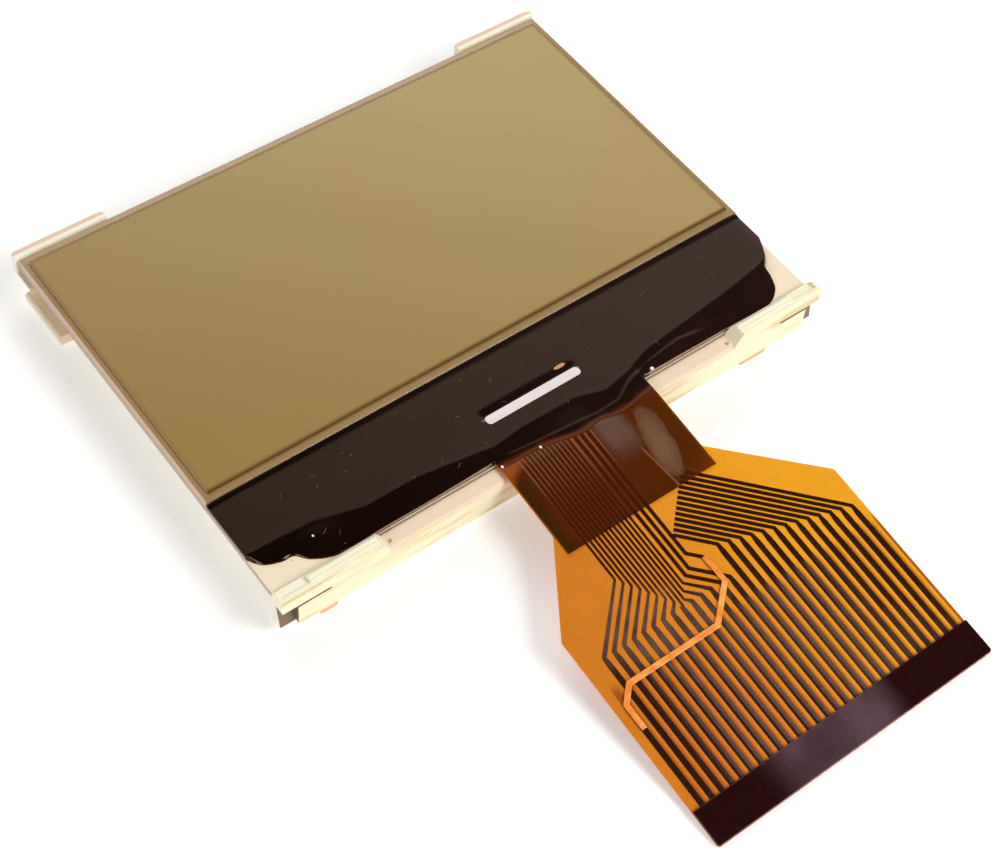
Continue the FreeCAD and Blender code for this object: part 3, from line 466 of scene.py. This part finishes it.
def stiffenerGloss():
    # maroon with one soft glare, which ends more sharply at its right
    look = {"maroon": srgb(30, 3, 4), "warm": srgb(44, 9, 9), "glow": srgb(112, 88, 98),
            "glint": (1.0, 0.55, 0.55, 1.0), "glowLeft": (-9.0, -4.0), "glowRight": (6.0, 3.0),
            "cloudSize": 5.0, "grain": 0.3}
    low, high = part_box("end_stiffener")
    paint = Paint("stiffenerGloss")
    x, y, z = paint.place()
    cloud = paint.noise(look["cloudSize"])
    fine = paint.noise(look["grain"])
    middle = (low.x + high.x) / 2.0
    dark, lit = (middle + at * mm for at in look["glowLeft"])
    outer, fade = (length * mm for length in look["glowRight"])
    glow = paint.span(x, dark, lit) * paint.span(middle + outer - x, 0.0, fade)
    colour = paint.blend(cloud, look["maroon"], look["warm"])
    colour = paint.blend(glow * cloud * 0.9, colour, look["glow"])
    paint.set(Base_Color=colour, Roughness=fine * 0.12 + 0.14, Specular_Tint=look["glint"])
    paint.bump(cloud * 0.7 + fine * 0.04, 0.05)
    return paint.material


def goldContact():
    look = {"deep": srgb(214, 168, 84), "bright": srgb(244, 208, 128)}
    paint = Paint("goldContact")
    streak = paint.noise(0.5, vector=paint.stretched(1.0, 0.15, 1.0))
    paint.set(Base_Color=paint.blend(streak, look["deep"], look["bright"]), Metallic=1.0,
              Roughness=streak * 0.2 + 0.2)
    paint.bump(streak, 0.01)
    return paint.material


frontPane = {"low": srgb(186, 152, 124), "high": srgb(226, 198, 168), "wet": srgb(40, 22, 4),
             "face": srgb(184, 148, 92), "cloud": srgb(170, 134, 82), "alpha": 0.8}
rearPane = {"low": srgb(112, 84, 66), "high": srgb(206, 174, 148), "wet": srgb(96, 70, 40),
            "face": srgb(255, 240, 214), "cloud": srgb(255, 232, 200), "alpha": 0.97}

finishes = {
    "backlight_frame": framePlastic(),
    "reflector_sheet": plainFinish("reflectorWhite", (250, 250, 246), (236, 236, 230), 2.0),
    "light_guide": plainFinish("guideAcrylic", (236, 242, 236), (214, 226, 218), 5.0, rough=0.12),
    "diffuser_sheet": plainFinish("diffuserWhite", (246, 244, 234), (232, 230, 218), 0.6, rough=0.6),
    "led_board": plainFinish("boardLaminate", (40, 104, 58), (24, 74, 40), 0.5, rough=0.4),
    "led_packages": plainFinish("ledWhite", (248, 246, 240), (228, 226, 218), 0.4, rough=0.4),
    "led_lenses": plainFinish("ledPhosphor", (232, 236, 110), (206, 208, 70), 0.3, rough=0.25),
    "backlight_pads": plainFinish("tinnedPad", (214, 214, 210), (176, 176, 174), 0.4, rough=0.3, metal=1.0),
    "cell_tape": plainFinish("tapeWhite", (238, 232, 216), (220, 212, 192), 1.0, rough=0.6),
    "rear_polarizer": plainFinish("rearFilm", (150, 138, 104), (122, 112, 82), 4.0, rough=0.3),
    "cell_seal": plainFinish("sealEpoxy", (176, 152, 116), (146, 120, 84), 1.5, rough=0.45),
    "liquid_crystal": plainFinish("crystalLayer", (146, 134, 92), (124, 112, 74), 6.0, rough=0.3),
    "port_plug": plainFinish("plugResin", (224, 188, 112), (192, 150, 78), 0.8, rough=0.15, coat=0.5),
    "front_glass": paneGlass("frontPane", "front_glass", frontPane),
    "rear_glass": paneGlass("rearPane", "rear_glass", rearPane),
    "front_polarizer": polarizerFilm(),
    "chip_film": plainFinish("bumpFilm", (140, 116, 82), (112, 90, 60), 0.5, rough=0.4),
    "driver_chip": chipSiliconReflection(),
    "ledge_resin": resinGloss(),
    "flex_base_film": amberFilm(),
    "front_tracks": trackCopper(),
    "contact_fingers": goldContact(),
    "jumper_track": jumperOrange(),
    "neck_tape": neckTapeFilm(),
    "end_stiffener": stiffenerGloss(),
    "front_cover_film": coverGloss(),
}
finishes["bond_film"] = finishes["chip_film"]
finishes["rear_tracks"] = finishes["front_tracks"]
finishes["through_vias"] = finishes["front_tracks"]
finishes["rear_cover_film"] = amberFilm("rearCoverFilm", 0.7)

for name, material in finishes.items():
    nodes[name].data.materials.clear()
    nodes[name].data.materials.append(material)
print("finishes:", len(finishes))


# Pieces modelled again

def addPiece(name, bm, material, materialSlot, *replaced):
    mesh = bpy.data.meshes.new(name)
    bm.to_mesh(mesh)
    bm.free()
    mesh.materials.append(material)
    made = bpy.data.objects.new(name, mesh)
    bpy.context.collection.objects.link(made)
    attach(made, "root")
    if replaced:
        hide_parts(*replaced)


def dressed(node, name, materialSlot, bevel, toneOf=None, segments=2):
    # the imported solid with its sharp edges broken; toneOf gives a face its tone from normal and middle
    look = {"weld": 0.002, "flatDegrees": 0.5, "sharpDegrees": 28}
    bm = bmesh.new()
    bm.from_mesh(nodes[node].data)
    bmesh.ops.remove_doubles(bm, verts=bm.verts, dist=look["weld"] * mm)
    flat, crisp = math.radians(look["flatDegrees"]), math.radians(look["sharpDegrees"])
    bmesh.ops.dissolve_limit(bm, angle_limit=flat, verts=bm.verts, edges=bm.edges)
    sharp = [edge for edge in bm.edges if edge.is_manifold and edge.calc_face_angle(0.0) > crisp]
    bmesh.ops.bevel(bm, geom=sharp, offset=bevel * mm, segments=segments, profile=0.5, affect="EDGES",
                    clamp_overlap=True, material=-1)
    tone = bm.faces.layers.float.new("tone")
    for face in bm.faces:
        face[tone] = toneOf(face.normal, face.calc_center_median() / mm) if toneOf else 0.0
        face.smooth = False
    addPiece(name, bm, finishes[node], materialSlot, node)


def hangSkirt(bm, footOf):
    # a wall down from the sheet's rim, with a crisp edge; footOf gives its foot's level from a rim point
    rim = [edge for edge in bm.edges if edge.is_boundary]
    for edge in rim:
        edge.smooth = False
    skirt = bmesh.ops.extrude_edge_only(bm, edges=rim)["geom"]
    for vertex in (item for item in skirt if isinstance(item, bmesh.types.BMVert)):
        vertex.co.z = footOf(vertex.co)
    bmesh.ops.recalc_face_normals(bm, faces=bm.faces)
    for face in bm.faces:
        face.smooth = True


def smoothLine(points, steps):
    # places on a smooth curve through the points
    ends = [2 * points[0] - points[1]] + points + [2 * points[-1] - points[-2]]
    places = []
    for before, start, stop, after in zip(ends, ends[1:], ends[2:], ends[3:]):
        for step in range(steps):
            t = step / steps
            square = (2 * before - 5 * start + 4 * stop - after) * t * t
            cube = (3 * start - before - 3 * stop + after) * t ** 3
            places.append(0.5 * (2 * start + (stop - before) * t + square + cube))
    return places + [points[-1]]


def easing(value):
    value = min(max(value, 0.0), 1.0)
    return value * value * (3.0 - 2.0 * value)


class Pool:
    # the resin on the ledge: its near edge in plan and its height over the ledge. Places are given as
    # x and the distance from the front glass, but the lobes over the tape as a share of its width and
    # the distance from the frame's near face
    look = {"columns": 320, "rows": 66, "rounding": 0.34, "ripple": 0.012, "setback": 0.06,
            "left": [(-28.0, -5.8), (-27.2, -6.9), (-25.8, -7.5), (-24.7, -7.6), (-23.9, -8.5),
                     (-22.4, -9.3)],
            "alongLeft": (-20.5, -16.0, -11.0), "alongRight": (13.0, 18.0, 23.2),
            "right": [(25.2, -8.7), (26.0, -7.4), (26.3, -6.2), (27.1, -5.2), (28.0, -3.5)],
            "lobes": [(0.0, 0.95), (0.09, 0.88), (0.23, 0.85), (0.34, 0.55), (0.5, 0.0), (0.62, 0.25),
                      (0.77, -0.15), (0.94, 0.2), (1.0, 0.3)],
            "ridge": [(-28.0, -5.7), (-21.8, -5.9), (-17.6, -7.2), (-12.5, -7.3), (-5.6, -8.4),
                      (-2.8, -8.1), (2.8, -8.1), (5.6, -9.0), (8.4, -8.5), (11.2, -7.6), (16.8, -7.0),
                      (21.3, -6.5), (28.0, -5.5)],
            "ridgeRise": 0.02, "ridgeWidth": 0.3,
            "wave": [(-6.0, -9.56), (-4.5, -9.69), (-0.1, -10.11), (3.8, -10.46), (6.0, -10.43),
                     (7.9, -9.43), (10.7, -8.74), (14.2, -8.33), (18.3, -8.85)],
            "waveChange": (6.0, 10.0), "waveRise": (0.03, 0.075), "waveWidth": (0.15, 0.32),
            "waveEase": (1.5, 3.0), "crown": 0.58, "nearRise": 0.14, "tapeRise": 0.4,
            "powerChange": (-20.0, -14.0), "power": (1.25, 0.95), "meniscus": 0.085, "meniscusReach": 0.6,
            "endFall": 0.2, "endReach": 0.5, "thinEdge": 0.12, "thinOnTape": 0.6}

    def __init__(self):
        look = self.look
        low, high = [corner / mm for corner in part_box("ledge_resin")]
        tapeLow, tapeHigh = [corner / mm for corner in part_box("neck_tape")]
        self.glassNear = high.y
        self.ledgeTop = low.z
        self.half = high.x
        self.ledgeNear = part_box("rear_glass")[0].y / mm
        self.tape = (tapeLow.x + 0.02, tapeHigh.x - 0.02)
        self.tapeTop = tapeHigh.z - low.z
        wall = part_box("backlight_frame")[0].y / mm
        near = self.ledgeNear + look["setback"]
        left = [Vector((x, self.glassNear + y)) for x, y in look["left"]]
        right = [Vector((x, self.glassNear + y)) for x, y in look["right"]]
        tapeWidth = self.tape[1] - self.tape[0]
        lobes = [Vector((self.tape[0] + share * tapeWidth, wall + reach)) for share, reach in look["lobes"]]
        left += [Vector((x, near)) for x in (*look["alongLeft"], self.tape[0] - 0.05)]
        right = [Vector((x, near)) for x in (self.tape[1] + 0.05, *look["alongRight"])] + right
        line = smoothLine(left, 10) + smoothLine(lobes, 10) + smoothLine(right, 10)
        steps = [0.0] + [(b - a).length for a, b in zip(line, line[1:])]
        far = [0.0] + [abs((b - a).x) + 0.35 * abs((b - a).y) for a, b in zip(line, line[1:])]
        self.travel = np.cumsum(steps) / sum(steps)
        self.farShare = np.cumsum(far) / sum(far)
        self.ridgeX, self.ridgeY = zip(*look["ridge"])
        self.waveX, self.waveY = zip(*look["wave"])
        self.xs = [point.x for point in line]
        self.ys = [point.y for point in line]

    def column(self, share):
        # near and far end of the column that stands at this share of the near edge
        near = Vector((np.interp(share, self.travel, self.xs), np.interp(share, self.travel, self.ys)))
        across = np.interp(share, self.travel, self.farShare)
        return near, Vector((-self.half + 2.0 * self.half * across, self.glassNear))

    def overTape(self, x, y):
        return self.tape[0] - 0.03 < x < self.tape[1] + 0.03 and y < self.ledgeNear + 0.2

    def base(self, x, y):
        # what the resin lies on, over the ledge
        return self.tapeTop if self.overTape(x, y) else 0.0

    def wave(self, x, depth):
        # the flow line that runs along the near side
        look = self.look
        if not self.waveX[0] < x < self.waveX[-1]:
            return 0.0
        width = np.interp(x, look["waveChange"], look["waveWidth"])
        crest = (depth - np.interp(x, self.waveX, self.waveY)) / width
        first, last = look["waveEase"]
        fade = easing((x - self.waveX[0]) / first) * easing((self.waveX[-1] - x) / last)
        return np.interp(x, look["waveChange"], look["waveRise"]) * fade * math.exp(-crest * crest)

    def height(self, x, y, inward):
        # inward is the distance from the near edge
        look = self.look
        depth = y - self.glassNear
        ridge = depth - np.interp(x, self.ridgeX, self.ridgeY)
        fall = max(-ridge, 0.0) / max(inward - ridge, 0.2)
        onTape = easing(self.tape[1] + 1.0 - x) * easing(x - self.tape[0] + 1.0)
        nearRise = look["nearRise"] + look["tapeRise"] * self.tapeTop * onTape
        power = np.interp(x, look["powerChange"], look["power"])
        body = look["crown"] + (nearRise - look["crown"]) * fall ** power
        body += look["ridgeRise"] * math.exp(-(ridge / look["ridgeWidth"]) ** 2)
        body += self.wave(x, depth)
        body += look["meniscus"] * easing(1.0 + depth / look["meniscusReach"])
        body -= look["endFall"] * math.exp(-min(x + self.half, self.half - x) / look["endReach"])
        body -= strip.pit(x, y)
        ripple = strip.clear(x, y) * look["ripple"]
        body += ripple * noise.noise(Vector((x * 0.16, y * 0.3, 1.0)))
        body += ripple * 0.25 * noise.noise(Vector((x * 0.7, y * 0.7, 5.0)))
        bead = math.sqrt(1.0 - (1.0 - min(max(inward / look["rounding"], 0.0), 1.0)) ** 2)
        below = self.base(x, y)
        return below + max(body - below, 0.02) * bead

    def top(self, x, y):
        return self.height(x, y, y - np.interp(x, self.xs, self.ys)) + self.ledgeTop

    def thinness(self, x, y, inward):
        # 1 where the resin thins out to brown, most of all on the tape
        onTape = self.overTape(x, y)
        reach = self.look["thinOnTape"] if onTape else self.look["thinEdge"]
        reach *= 1.0 + 0.6 * noise.noise(Vector((x * 0.8, 2.0, 0.0)))
        return easing(1.2 - inward / reach) * (1.0 if onTape else 0.4)


class Strip:
    # bare back of the chip, in the resin. The middle and the spot are given as x and the distance
    # from the front glass
    look = {"middle": (0.2, -6.0), "size": (9.8, 0.88), "radius": 0.38, "steps": 32, "proud": 0.012,
            "thick": 0.3, "sunk": 0.3, "calm": 0.8, "pit": 0.15, "pitReach": 0.95, "pitNear": 0.3,
            "pitEnds": (0.5, 0.9), "spot": (3.92, -4.8), "spotSize": (0.62, 0.17, 0.05)}

    def __init__(self):
        self.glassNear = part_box("front_glass")[0].y / mm
        self.x, self.y = self.look["middle"][0], self.glassNear + self.look["middle"][1]
        self.halfLength, self.halfWidth = (size / 2.0 for size in self.look["size"])

    def away(self, x, y):
        # distance outside the strip's outline
        dx = max(abs(x - self.x) - self.halfLength, 0.0)
        dy = max(abs(y - self.y) - self.halfWidth, 0.0)
        return math.hypot(dx, dy)

    def clear(self, x, y):
        return easing(self.away(x, y) / self.look["calm"])

    def pit(self, x, y):
        # the resin stands lower along the strip's far side
        look = self.look
        beyond = y - self.y - self.halfWidth
        past, ease = look["pitEnds"]
        ends = easing((self.halfLength + past - abs(x - self.x)) / ease)
        sides = easing(1.0 - beyond / look["pitReach"]) * easing(beyond / look["pitNear"] + 1.0)
        return look["pit"] * ends * sides


def resinPool():
    look = pool.look
    bm = bmesh.new()
    bmesh.ops.create_grid(bm, x_segments=look["columns"], y_segments=look["rows"], size=0.5)
    tone = bm.verts.layers.float.new("tone")
    columns = {}
    for vertex in bm.verts:
        share, depth = vertex.co.x + 0.5, vertex.co.y + 0.5
        if share not in columns:
            columns[share] = pool.column(share)
        near, far = columns[share]
        place = near.lerp(far, depth ** 1.6)
        inward = (place - near).length
        vertex[tone] = pool.thinness(place.x, place.y, inward)
        level = pool.ledgeTop + pool.height(place.x, place.y, inward)
        vertex.co = Vector((place.x, place.y, level)) * mm
    hangSkirt(bm, lambda place: (pool.ledgeTop + pool.base(place.x / mm, place.y / mm) + 0.002) * mm)
    addPiece("resinPool", bm, finishes["ledge_resin"], "black_resin", "ledge_resin")


def chipStrip():
    # the buried chip, and the flat strip of its back that stands a hair proud of the resin
    look = strip.look
    radius = look["radius"]
    level = pool.top(strip.x, strip.y) + look["proud"]
    bm = bmesh.new()
    bm.from_mesh(nodes["driver_chip"].data)
    middle = sum(vertex.co.z for vertex in bm.verts) / len(bm.verts)
    for vertex in bm.verts:
        vertex.co.z -= look["sunk"] * mm if vertex.co.z > middle else 0.0
    ring = []
    for step in range(look["steps"]):
        angle = math.tau * (step + 0.5) / look["steps"]
        x = math.copysign(strip.halfLength - radius, math.cos(angle)) + radius * math.cos(angle)
        y = math.copysign(strip.halfWidth - radius, math.sin(angle)) + radius * math.sin(angle)
        ring.append(bm.verts.new(Vector((strip.x + x, strip.y + y, level - look["thick"])) * mm))
    face = bm.faces.new(ring)
    made = bmesh.ops.extrude_face_region(bm, geom=[face])["geom"]
    raised = [item for item in made if isinstance(item, bmesh.types.BMVert)]
    bmesh.ops.translate(bm, verts=raised, vec=(0, 0, look["thick"] * mm))
    bmesh.ops.recalc_face_normals(bm, faces=bm.faces)
    addPiece("chipStrip", bm, finishes["driver_chip"], "polished_silicon", "driver_chip")


def bareSpot():
    # small tan patch that the resin left bare, at the far side of the chip
    x, y = strip.look["spot"][0], strip.glassNear + strip.look["spot"][1]
    bm = bmesh.new()
    made = bmesh.ops.create_icosphere(bm, subdivisions=3, radius=mm)["verts"]
    for vertex in made:
        vertex.co *= 1.0 + 0.18 * noise.noise(vertex.co / mm * 1.3)
    bmesh.ops.scale(bm, verts=made, vec=strip.look["spotSize"])
    bmesh.ops.translate(bm, verts=made, vec=Vector((x, y, pool.top(x, y))) * mm)
    for face in bm.faces:
        face.smooth = True
    tan = plainFinish("spotTan", (226, 164, 92), (188, 124, 62), 0.3, rough=0.35)
    addPiece("bareSpot", bm, tan, "bump_film")


def surfaceOf(node):
    mesh = nodes[node].data
    return BVHTree.FromPolygons([v.co for v in mesh.vertices], [tuple(p.vertices) for p in mesh.polygons])


def neckTape():
    # tape pressed down between the conductors under the neck
    look = {"columns": 300, "rows": 64, "dip": 0.028, "reach": 0.1, "flankAt": 0.14, "flankFade": 0.1,
            "wrinkle": 0.012, "trackTop": 0.11, "edge": 0.0015, "thick": 0.02}
    low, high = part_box("neck_tape")
    tape, tracks = surfaceOf("neck_tape"), surfaceOf("front_tracks")
    bm = bmesh.new()
    bmesh.ops.create_grid(bm, x_segments=look["columns"], y_segments=look["rows"], size=0.5)
    tone = bm.verts.layers.float.new("tone")
    margin = look["edge"] * mm
    above = 0.1
    for vertex in bm.verts:
        x = low.x + margin + (vertex.co.x + 0.5) * (high.x - low.x - 2.0 * margin)
        y = low.y + margin + (vertex.co.y + 0.5) * (high.y - low.y - 2.0 * margin)
        hit = tape.ray_cast(Vector((x, y, above)), Vector((0, 0, -1)))[0]
        level = hit.z if hit else tape.find_nearest(Vector((x, y, high.z)))[0].z
        away = tracks.find_nearest(Vector((x, y, level - look["trackTop"] * mm)))[3] / mm
        pressed = easing(away / look["reach"])
        wave = noise.noise(Vector((x / mm * 0.25, y / mm * 0.5, 3.0)))
        # tone marks the flanks, which the tape's finish paints lighter as a highlight
        vertex[tone] = pressed * (1.0 - easing((away - look["flankAt"]) / look["flankFade"]))
        level -= (look["dip"] * pressed + look["wrinkle"] * (0.5 + 0.5 * wave)) * mm
        vertex.co = Vector((x, y, level))
    hangSkirt(bm, lambda place: place.z - look["thick"] * mm)
    addPiece("neckTapeSkin", bm, finishes["neck_tape"], "brown_tape", "neck_tape")


def addFibre(bm, chance, x, y):
    # a bent thread, raised along its middle and narrower towards its ends
    look = {"points": 7, "bend": 1.2, "length": (0.25, 0.8), "width": (0.012, 0.024), "taper": 0.6}
    heading, bend = chance.uniform(0.0, math.tau), chance.uniform(-look["bend"], look["bend"])
    length, width = chance.uniform(*look["length"]), chance.uniform(*look["width"])
    last = look["points"] - 1.0
    previous = None
    for step in range(look["points"]):
        turn = heading + bend * step / last
        x += math.cos(turn) * length / look["points"]
        y += math.sin(turn) * length / look["points"]
        share = width * (1.0 - (step / (last / 2.0) - 1.0) ** 2 * look["taper"])
        side = Vector((-math.sin(turn), math.cos(turn), 0.0)) * share
        middle = Vector((x, y, pool.top(x, y)))
        row = [bm.verts.new((middle + offset) * mm) for offset in (-side, Vector((0, 0, width)), side)]
        if previous:
            bm.faces.new((previous[0], previous[1], row[1], row[0]))
            bm.faces.new((previous[1], previous[2], row[2], row[1]))
        previous = row


def dustSpecksAndGlints():
    # fibres and grains that settled on the resin while it was wet, and a few droplets painted white as
    # highlights, given as x, the distance from the front glass and the radius
    look = {"fibres": 30, "grains": 60, "seed": 11, "halfSpread": 26.0, "depth": (0.6, 8.4),
            "radius": (0.012, 0.03), "glintFrom": 0.08, "squash": (0.7, 1.3), "rise": 0.6,
            "fibreGap": 0.4, "grainGap": 0.2,
            "drops": [(-22.6, -7.1, 0.1), (-20.8, -9.0, 0.06), (-6.2, -10.2, 0.13), (-6.0, -7.7, 0.06),
                      (-2.4, -10.4, 0.12), (2.2, -8.2, 0.06), (10.5, -9.25, 0.2)]}
    chance = random.Random(look["seed"])
    bm = bmesh.new()
    tone = bm.verts.layers.float.new("tone")

    def spot():
        x = chance.uniform(-look["halfSpread"], look["halfSpread"])
        return x, pool.glassNear - chance.uniform(*look["depth"])

    for index in range(look["fibres"]):
        x, y = spot()
        if strip.away(x, y) >= look["fibreGap"]:
            addFibre(bm, chance, x, y)
    grains = [(spot(), chance.uniform(*look["radius"])) for index in range(look["grains"])]
    drops = [((x, pool.glassNear + y), radius) for x, y, radius in look["drops"]]
    for (x, y), radius in grains + drops:
        if strip.away(x, y) < look["grainGap"]:
            continue
        made = bmesh.ops.create_icosphere(bm, subdivisions=2, radius=radius * mm)["verts"]
        for vertex in made:
            # painted highlight: the larger droplets are white
            vertex[tone] = 1.0 if radius > look["glintFrom"] else 0.0
        bmesh.ops.scale(bm, verts=made, vec=(1.0, chance.uniform(*look["squash"]), look["rise"]))
        bmesh.ops.translate(bm, verts=made, vec=Vector((x, y, pool.top(x, y))) * mm)
    for face in bm.faces:
        face.smooth = True
    addPiece("dustSpecksAndGlints", bm, dustAndGlintPale(), "black_resin")


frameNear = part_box("backlight_frame")[0].y / mm


def frameShadeTone(normal, middle):
    # tan painted shadow in shaded recesses and under the wall, peach painted shade on faces in shade, and
    # -1 on the near face
    look = {"recess": 1.0, "wallTopShade": 0.36, "farRimShade": 0.5, "sideTabShade": 0.34, "nearFace": -1.0, "side": 0.2}
    depth = middle.y - frameNear
    offCentre = abs(middle.x)
    farFrom = pool.glassNear + 30.0
    underWall = normal.z < -0.5 and depth < 3.0 and middle.z > 0.5
    inSlit = offCentre > 20.0 and 0.04 < depth < 1.0 and 1.2 < middle.z < 3.9
    if underWall or inSlit:
        return look["recess"]
    if depth < 1.7 and normal.z > 0.6 and offCentre < 19.5:
        return look["wallTopShade"]
    if middle.y > farFrom and normal.y > 0.2 and normal.z > 0.2:
        return look["farRimShade"]
    if offCentre > 26.9 and depth > 6.0 and middle.y < farFrom:
        return look["sideTabShade"]
    if normal.y < -0.7 and depth < 0.3:
        return look["nearFace"]
    # faces that look along x get a little painted shade
    return look["side"] if abs(normal.x) > 0.5 else 0.0


def groundEdge(normal, middle):
    # 1 on a pane's cut edges, 0.5 on the near one, which meets the resin
    if abs(normal.z) > 0.9:
        return 0.0
    return 0.5 if normal.y < -0.3 else 1.0


def cutEdge(normal, middle):
    # 1 on the top film's left, right and far sides, which its finish paints paler as painted light
    return 1.0 if abs(normal.z) < 0.9 and normal.y > -0.3 else 0.0


strip = Strip()
pool = Pool()
resinPool()
chipStrip()
bareSpot()
neckTape()
dustSpecksAndGlints()
print("resin, chip back, neck tape and dust modelled")
dressed("backlight_frame", "mouldedFrame", "frame_plastic", 0.05, frameShadeTone)
dressed("front_glass", "frontPane", "cell_glass", 0.05, groundEdge)
dressed("rear_glass", "rearPane", "cell_glass", 0.04, groundEdge)
dressed("front_polarizer", "topFilm", "front_film", 0.03, cutEdge)
dressed("end_stiffener", "stiffener", "maroon_stiffener", 0.03)
dressed("jumper_track", "jumper", "jumper_orange", 0.035, segments=3)
print("edges broken")


# Stage

def makeCamera():
    # placed from the far left top corner of the front glass, with its turn in degrees
    look = {"fromCorner": (-38.37, -107.12, 128.68), "turn": (35.706, -3.607, -36.873), "lens": 69.27,
            "sensor": 36.0, "clipFrom": 5.0}
    low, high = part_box("front_glass")
    data = bpy.data.cameras.new("camera")
    data.lens = look["lens"]
    data.sensor_width = look["sensor"]
    data.clip_start = look["clipFrom"] * mm
    camera = bpy.data.objects.new("camera", data)
    camera.location = Vector((low.x, high.y, high.z)) + Vector(look["fromCorner"]) * mm
    camera.rotation_euler = Euler([math.radians(angle) for angle in look["turn"]])
    bpy.context.collection.objects.link(camera)
    bpy.context.scene.camera = camera


def softLamp(name, place, size, power, tint=(1.0, 1.0, 1.0)):
    # a rectangle of light that faces the part
    data = bpy.data.lights.new(name, "AREA")
    data.shape = "RECTANGLE"
    data.size = size[0] * mm
    data.size_y = size[1] * mm
    data.energy = power
    data.color = tint
    lamp = bpy.data.objects.new(name, data)
    lamp.location = Vector(place) * mm
    lamp.rotation_euler = (-Vector(place)).to_track_quat("-Z", "Y").to_euler()
    bpy.context.collection.objects.link(lamp)


def makeLights():
    # powers of the lamps, and the sky's brightness below and above the edge of its bright half
    look = {"key": 1.3, "front": 0.12, "far": 0.46, "fill": 0.45, "warm": (1.0, 0.98, 0.94), "dim": 0.05,
            "bright": 0.72, "skyEdge": (0.2, 0.42)}
    softLamp("keyLamp", (180, -260, 300), (220, 220), look["key"], look["warm"])
    softLamp("frontLamp", (160, -340, 90), (220, 120), look["front"], look["warm"])
    softLamp("fillLamp", (-330, -170, 170), (200, 160), look["fill"])
    softLamp("farLamp", (120, 330, 260), (260, 160), look["far"])
    world = bpy.data.worlds.new("studio")
    world.use_nodes = True
    sky = Tree(world.node_tree)
    x, y, z = sky.axes(sky.node("ShaderNodeTexCoord").outputs["Generated"])
    glow = sky.span(y, *look["skyEdge"], look["dim"], look["bright"])
    seen = sky.node("ShaderNodeLightPath").outputs["Is Camera Ray"]
    level = sky.node("ShaderNodeMapRange", Value=seen, To_Min=glow, To_Max=1.0)
    back = world.node_tree.nodes["Background"]
    sky.feed(back.inputs["Color"], (1.0, 1.0, 1.0))
    sky.feed(back.inputs["Strength"], level.outputs[0])
    bpy.context.scene.world = world


def makeFloor():
    look = {"half": 900.0, "grain": 2.0, "dark": (0.9, 0.9, 0.9), "pale": (0.93, 0.93, 0.93), "glow": 0.28}
    mesh = bpy.data.meshes.new("tableTop")
    bm = bmesh.new()
    bmesh.ops.create_grid(bm, x_segments=1, y_segments=1, size=look["half"] * mm)
    bm.to_mesh(mesh)
    bm.free()
    floor = bpy.data.objects.new("tableTop", mesh)
    bpy.context.collection.objects.link(floor)
    paint = Paint("palePaper")
    paint.set(Base_Color=paint.blend(paint.noise(look["grain"]), look["dark"], look["pale"]), Roughness=0.8,
              Emission_Color=(1.0, 1.0, 1.0), Emission_Strength=look["glow"])
    mesh.materials.append(paint.material)


makeCamera()
makeLights()
makeFloor()
bpy.context.scene.view_settings.view_transform = "Standard"
print("stage set")
